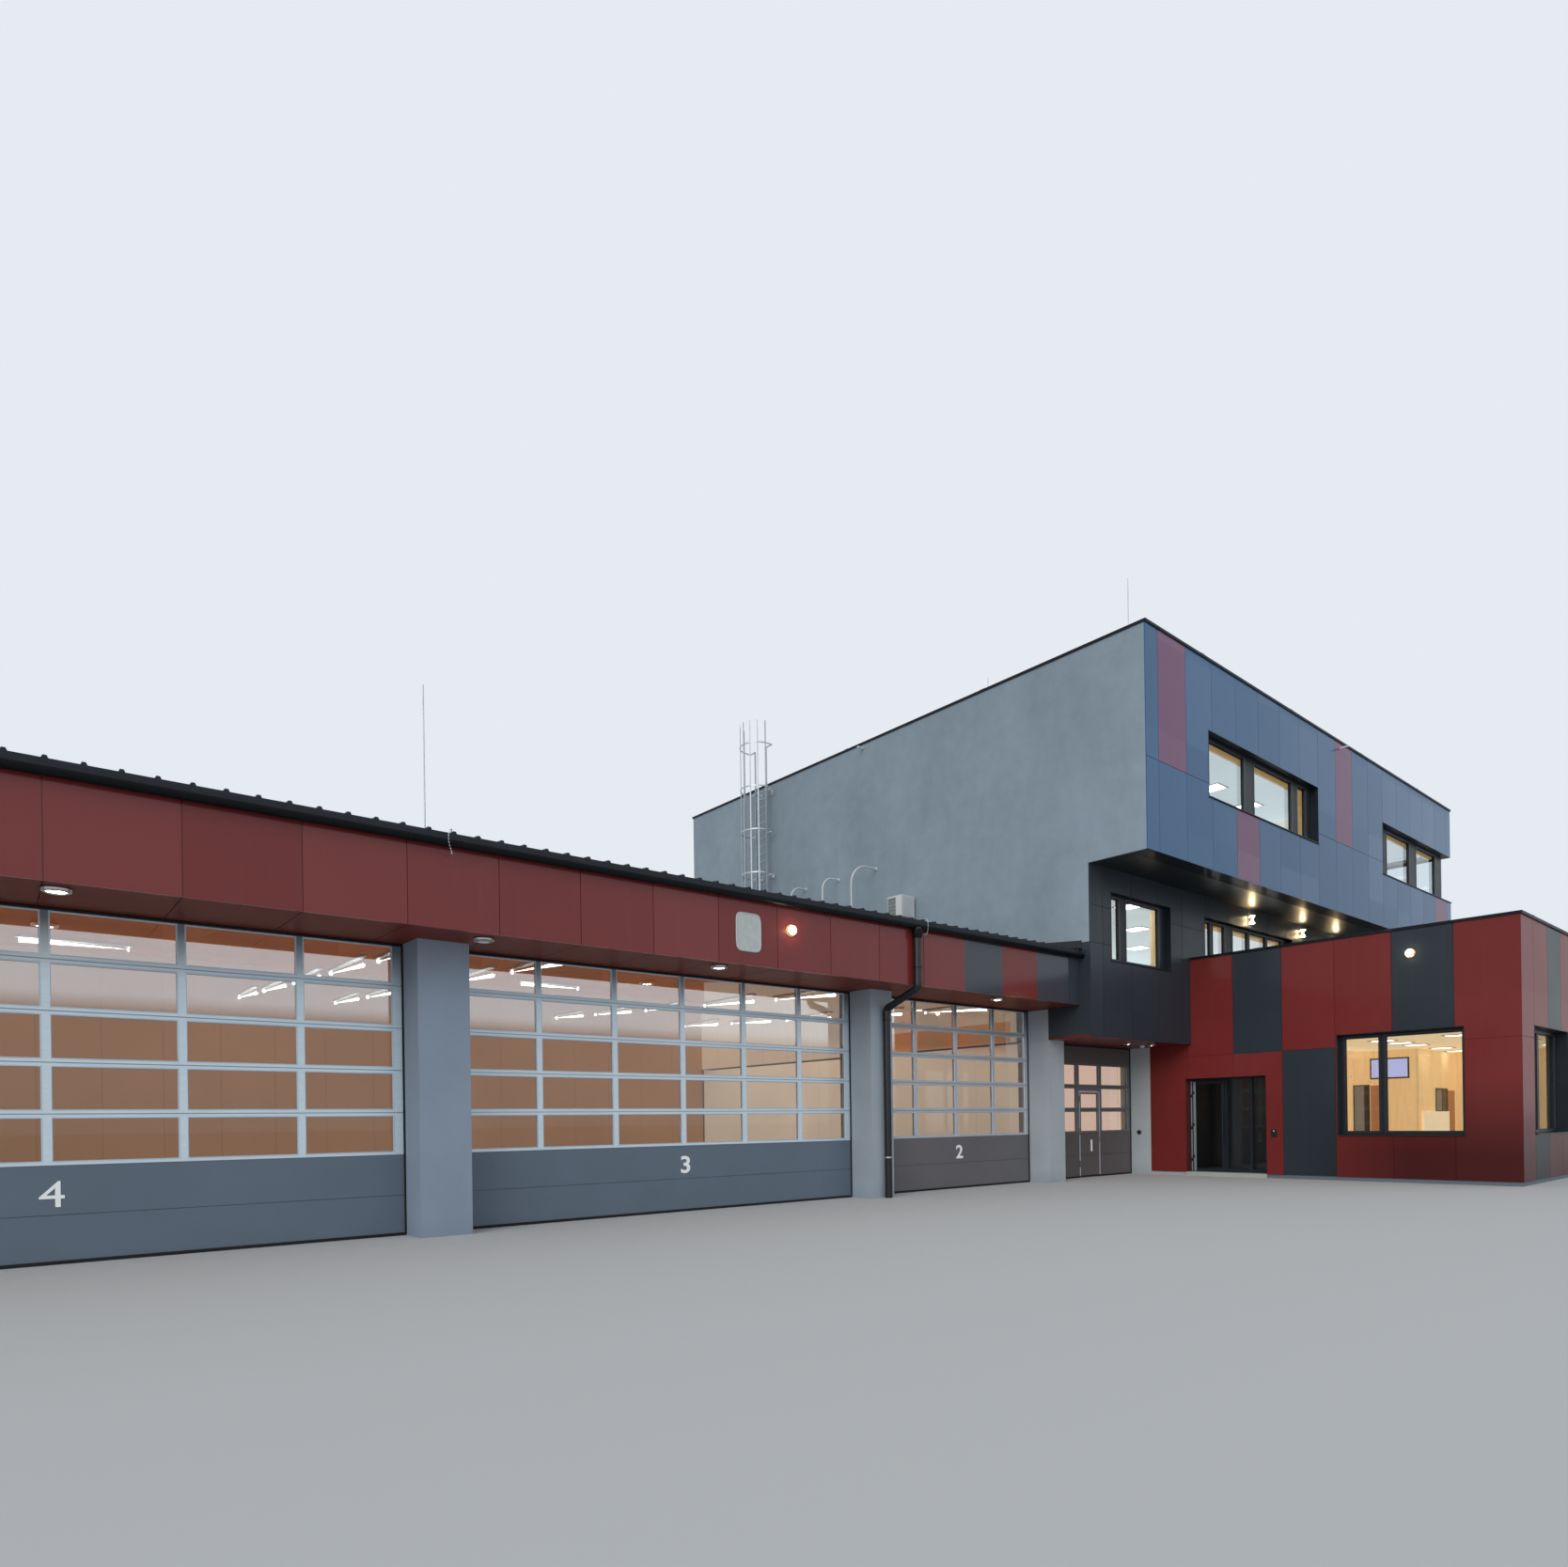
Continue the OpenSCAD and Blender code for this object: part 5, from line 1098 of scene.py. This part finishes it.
class StationRoof(bpy.types.Operator):
    """Adds the flashings, screws, gutter fittings, earthing wires and coping covers"""
    bl_idname = "station.roof"
    bl_label = "Roof pieces"

    def execute(self, context):
        c, s = context.scene.station_colours, context.scene.station_sizes
        trim = metal_finish("flashing", shade(c.trim, 1.8), 0.4)
        gutter = metal_finish("gutter_dark", shade(c.trim, 0.8), 0.4, 0.0, 0.16)
        steel = metal_finish("screw_steel", (0.42, 0.43, 0.44), 0.3, 0.9)

        # Flashings at the tower and at the free end, drawn along the slope
        slant = np.cos(np.arctan(RISE))
        top = 0.066 / slant
        y = np.array((-0.768, 7.04))
        for name, low, high, x0, x1 in (
                ("tower_flashing", top - 0.01, top + 0.1, -0.007, 0.0),
                ("tower_flashing_foot", top + 0.001, top + 0.007, -0.11, 0.0),
                ("end_flashing", -0.02, top + 0.012, -12.092, -12.085),
                ("end_flashing_top", top + 0.001, top + 0.007, -12.09, -11.99)):
            put(name, along_roof(y, low, high, x0, x1), trim)

        # A screw on every second rib in rows a metre and a quarter apart
        ribs = -0.1665 * (np.arange(0, 72, 2) + 0.5)
        along = np.arange(-0.55, 6.9, 1.25)
        u, v = np.meshgrid(ribs, along)
        places = np.stack([u, v, roof_under(v) + 0.0655 / slant], -1)
        screw = [(0.01, -0.003), (0.01, 0.001), (0.0055, 0.0015), (0.005, 0.005), (0.001, 0.006)]
        put("roof_screws", turned("above", places, screw, sides=8), steel)

        # Sleeves over the gutter's joints, its outlet, and earthing wires that hook round it
        turn = np.linspace(np.pi, 2 * np.pi, 17)
        middle = np.array((-0.772, roof_under(-0.812) - 0.001))
        circle = np.column_stack([np.cos(turn), np.sin(turn)])
        hoop = np.concatenate([middle + 0.042 * circle, middle + 0.039 * circle[::-1]])
        first = np.arange(-11.46, -0.1, s.gutter_piece)
        put("gutter_sleeves", drawn(hoop, first - 0.01, first + 0.01), gutter)
        put("gutter_outlet", turned("above", [(*OUTLET, 2.545)],
                                    [(0.0405, 0.0), (0.043, 0.004), (0.044, 0.026), (0.05, 0.036),
                                     (0.051, 0.084), (0.047, 0.088)], sides=32),
            gutter, smooth=True)
        arc = np.radians(np.linspace(58, 296, 16))
        loop = np.column_stack([0.03 * np.sin(arc * 1.5), middle[0] + 0.078 * np.cos(arc),
                                middle[1] + 0.078 * np.sin(arc)])
        hooks = np.stack([loop + (x, 0, 0) for x in (-7.45, -2.745)])
        put("earthing_wires", rods(hooks[:, :-1], hooks[:, 1:], 0.0045, 8),
            metal_finish("wire_zinc", (0.62, 0.66, 0.68), 0.35, 0.4), smooth=True)

        # Covers over the joints of the copings, two metres and a half apart
        at, side = np.arange(1.3, 10.4, 2.5), np.arange(0.6, 6.9, 2.5)
        covers = [(x - 0.04, y0, 6.232, x + 0.04, y1, 6.2535) for x in at
                  for y0, y1 in ((-1.6235, -1.388), (6.828, 7.0625))]
        covers += [(x0, y - 0.04, 6.232, x1, y + 0.04, 6.2535) for y in side
                   for x0, x1 in ((-0.0175, 0.2175), (10.3425, 10.5775))]
        covers += [(x - 0.04, -4.4225, 2.84, x + 0.04, -4.188, 2.8605)
                   for x in at + 1.5 if x > 2.6]
        covers += [(x0, y - 0.04, 2.84, x1, y + 0.04, 2.8605) for y in (-3.2, -1.75)
                   for x0, x1 in ((2.3295, 2.5645), (10.3425, 10.5775))]
        boxed("coping_covers", covers, trim, 0.0012)
        return {"FINISHED"}


class StationKit(bpy.types.Operator):
    """Adds the fittings of the ladder, the outdoor unit, the downpipe and the cladding"""
    bl_idname = "station.kit"
    bl_label = "Fittings"

    def execute(self, context):
        c = context.scene.station_colours
        steel = metal_finish("fitting_steel", (0.46, 0.48, 0.5), 0.32, 0.85)
        black = metal_finish("grille_black", (0.02, 0.021, 0.022), 0.4)
        pale = metal_finish("grille_pale", (0.62, 0.64, 0.64), 0.45)

        # The outdoor unit: a grille of wires over a dark coil, and a plain lid on its front
        put("unit_lid", plate("front", 1.78, (-0.168, 3.684), (0.112, 0.128),
                              [(1.0, 0.0), (1.0, 0.0015), (0.985, 0.003), (0.9, 0.003),
                               (0.89, 0.0022), (0.04, 0.0022)]), pale)
        boxed("unit_coil", [(-0.299, 1.882, 3.556, -0.2972, 2.028, 3.806)], black,
              0.0006)
        wires = [(-0.302, y, 3.556, -0.299, y + 0.003, 3.806)
                 for y in np.arange(1.886, 2.026, 0.0115)]
        wires += [(-0.303, 1.88, z, -0.2995, 2.03, z + 0.003)
                  for z in np.linspace(3.556, 3.803, 6)]
        boxed("unit_wires", wires, pale, 0.0008)
        put("unit_rim", frames("left", -0.297, [(1.876, 3.55, 2.034, 3.812)],
                               [(0, 0), (0, 0.005), (0.006, 0.005), (0.006, 0)]),
            pale)
        boxed("overhang_edge", [(0.001, -1.593, 3.7215, 0.199, -0.881, 3.7275)],
              metal_finish("edge_dark", shade(c.dark, 0.8)), 0.001)

        # Plates and bolts at the ladder's wall brackets
        rails = (4.835, 5.115)
        heights = (3.413, 4.749, 6.085)
        boxed("ladder_plates", [(-0.006, y - 0.03, z - 0.045, 0.0, y + 0.03, z + 0.045)
                                for y in rails for z in heights], steel, 0.0015)
        put("ladder_bolts", turned("left", [(y, z + d, -0.006) for y in rails for z in heights
                                            for d in (-0.033, 0.033)],
                                   [(0.009, 0.0), (0.009, 0.006), (0.007, 0.008), (0.001, 0.008)],
                                   sides=6), steel)

        # The downpipe's clip and the collars of its joints
        ring = [(0.0405, 0.0), (0.0425, 0.003), (0.0425, 0.013), (0.0405, 0.016)]
        for name, places, finish, slot in (
                ("pipe_clips", [(*PIPE, 0.398)], steel, "galvanised"),
                ("pipe_collars", [(*PIPE, 1.78), (*OUTLET, 2.26)],
                 metal_finish("collar_dark", c.trim), "dark_metal")):
            put(name, turned("above", places, ring, True, 32), finish, smooth=True)
        return {"FINISHED"}


class StationStage(bpy.types.Operator):
    """Sets the floor, the lamps and the camera"""
    bl_idname = "station.stage"
    bl_label = "Stage"

    def execute(self, context):
        half = 400.0
        mesh = bpy.data.meshes.new("floor")
        mesh.from_pydata([(-half, -half, 0), (half, -half, 0), (half, half, 0), (-half, half, 0)],
                         [], [(0, 1, 2, 3)])
        floor = bpy.data.objects.new("floor", mesh)
        context.scene.collection.objects.link(floor)
        f = Finish("floor_paint", Roughness=0.9, Specular_IOR_Level=0.1)
        f.set(Base_Color=f.mix(f.noise(0.05, 2.0), (0.6, 0.6, 0.6), (0.64, 0.64, 0.63)))
        mesh.materials.append(f.material)

        world = bpy.data.worlds.new("studio")
        context.scene.world = world
        world.use_nodes = True
        nodes, links = world.node_tree.nodes, world.node_tree.links
        nodes.clear()

        def add(kind, *inputs):
            made = nodes.new("ShaderNode" + kind)
            for socket, value in zip(made.inputs, inputs):
                if isinstance(value, bpy.types.NodeSocket):
                    links.new(value, socket)
                else:
                    socket.default_value = value
            return made

        # The light's tone, and the paler one that the camera, mirrors and glass see
        light = add("Background", (0.86, 0.93, 1.0, 1.0), 0.62)
        pale = add("Background", (0.78, 0.83, 0.88, 1.0))
        rays = add("LightPath").outputs
        seen = rays["Is Camera Ray"]
        for ray in ("Is Glossy Ray", "Is Transmission Ray"):
            either = add("Math", seen, rays[ray])
            either.operation = "MAXIMUM"
            seen = either.outputs[0]
        mix = add("MixShader", seen, light.outputs[0], pale.outputs[0])
        add("OutputWorld", mix.outputs[0])

        sun = bpy.data.lights.new("soft_key", "SUN")
        sun.energy, sun.angle, sun.color = 1.05, 0.7, (1.0, 0.98, 0.96)
        key = bpy.data.objects.new("soft_key", sun)
        key.rotation_euler = (np.radians(64), 0.0, np.radians(-62))
        context.scene.collection.objects.link(key)

        lens = bpy.data.cameras.new("camera")
        lens.sensor_fit, lens.sensor_width = "HORIZONTAL", 36.0
        # The photo's width and middle row, and the solved focal length and horizon, in pixels
        width, middle, focal, horizon = 1668, 833.5, 1020.1, 1193.98
        lens.lens = lens.sensor_width * focal / width
        lens.shift_y = (horizon - middle) / width
        lens.clip_end = 2000.0
        camera = bpy.data.objects.new("camera", lens)
        camera.rotation_mode = "QUATERNION"
        heading, roll = -0.70067, -0.01413
        turn = (Matrix.Rotation(heading, 4, "Z") @ Matrix.Rotation(np.pi / 2, 4, "X")
                @ Matrix.Rotation(roll, 4, "Z"))
        place = (-9.87 + CORNER[0], -7.05 + CORNER[1], 0.774)
        camera.matrix_world = Matrix.Translation(place) @ turn
        context.scene.collection.objects.link(camera)
        context.scene.camera = camera
        context.scene.view_settings.view_transform = "Standard"
        return {"FINISHED"}


# ---------------------------------------------------------------- panel and registration

OPERATORS = [StationFinishes, StationDoors, StationWindows, StationLamps, StationHall,
             StationRooms, StationRoof, StationKit, StationStage]


class StationPanel(bpy.types.Panel):
    """The station's steps in the sidebar"""
    bl_idname = "VIEW3D_PT_station"
    bl_label = "Fire Station"
    bl_space_type = "VIEW_3D"
    bl_region_type = "UI"
    bl_category = "Fire Station"

    def draw(self, context):
        for operator in OPERATORS:
            self.layout.operator(operator.bl_idname)
        for group in (context.scene.station_colours, context.scene.station_sizes):
            for name in group.bl_rna.properties.keys():
                if name not in ("rna_type", "name"):
                    self.layout.prop(group, name)


CLASSES = [StationColours, StationSizes, *OPERATORS, StationPanel]


def register():
    for cls in CLASSES:
        bpy.utils.register_class(cls)
    bpy.types.Scene.station_colours = bpy.props.PointerProperty(type=StationColours)
    bpy.types.Scene.station_sizes = bpy.props.PointerProperty(type=StationSizes)


def unregister():
    del bpy.types.Scene.station_sizes
    del bpy.types.Scene.station_colours
    for cls in reversed(CLASSES):
        bpy.utils.unregister_class(cls)


def main():
    """Runs every step in order."""
    register()
    for operator in OPERATORS:
        group, name = operator.bl_idname.split(".")
        getattr(getattr(bpy.ops, group), name)()


if __name__ == "__main__":
    main()
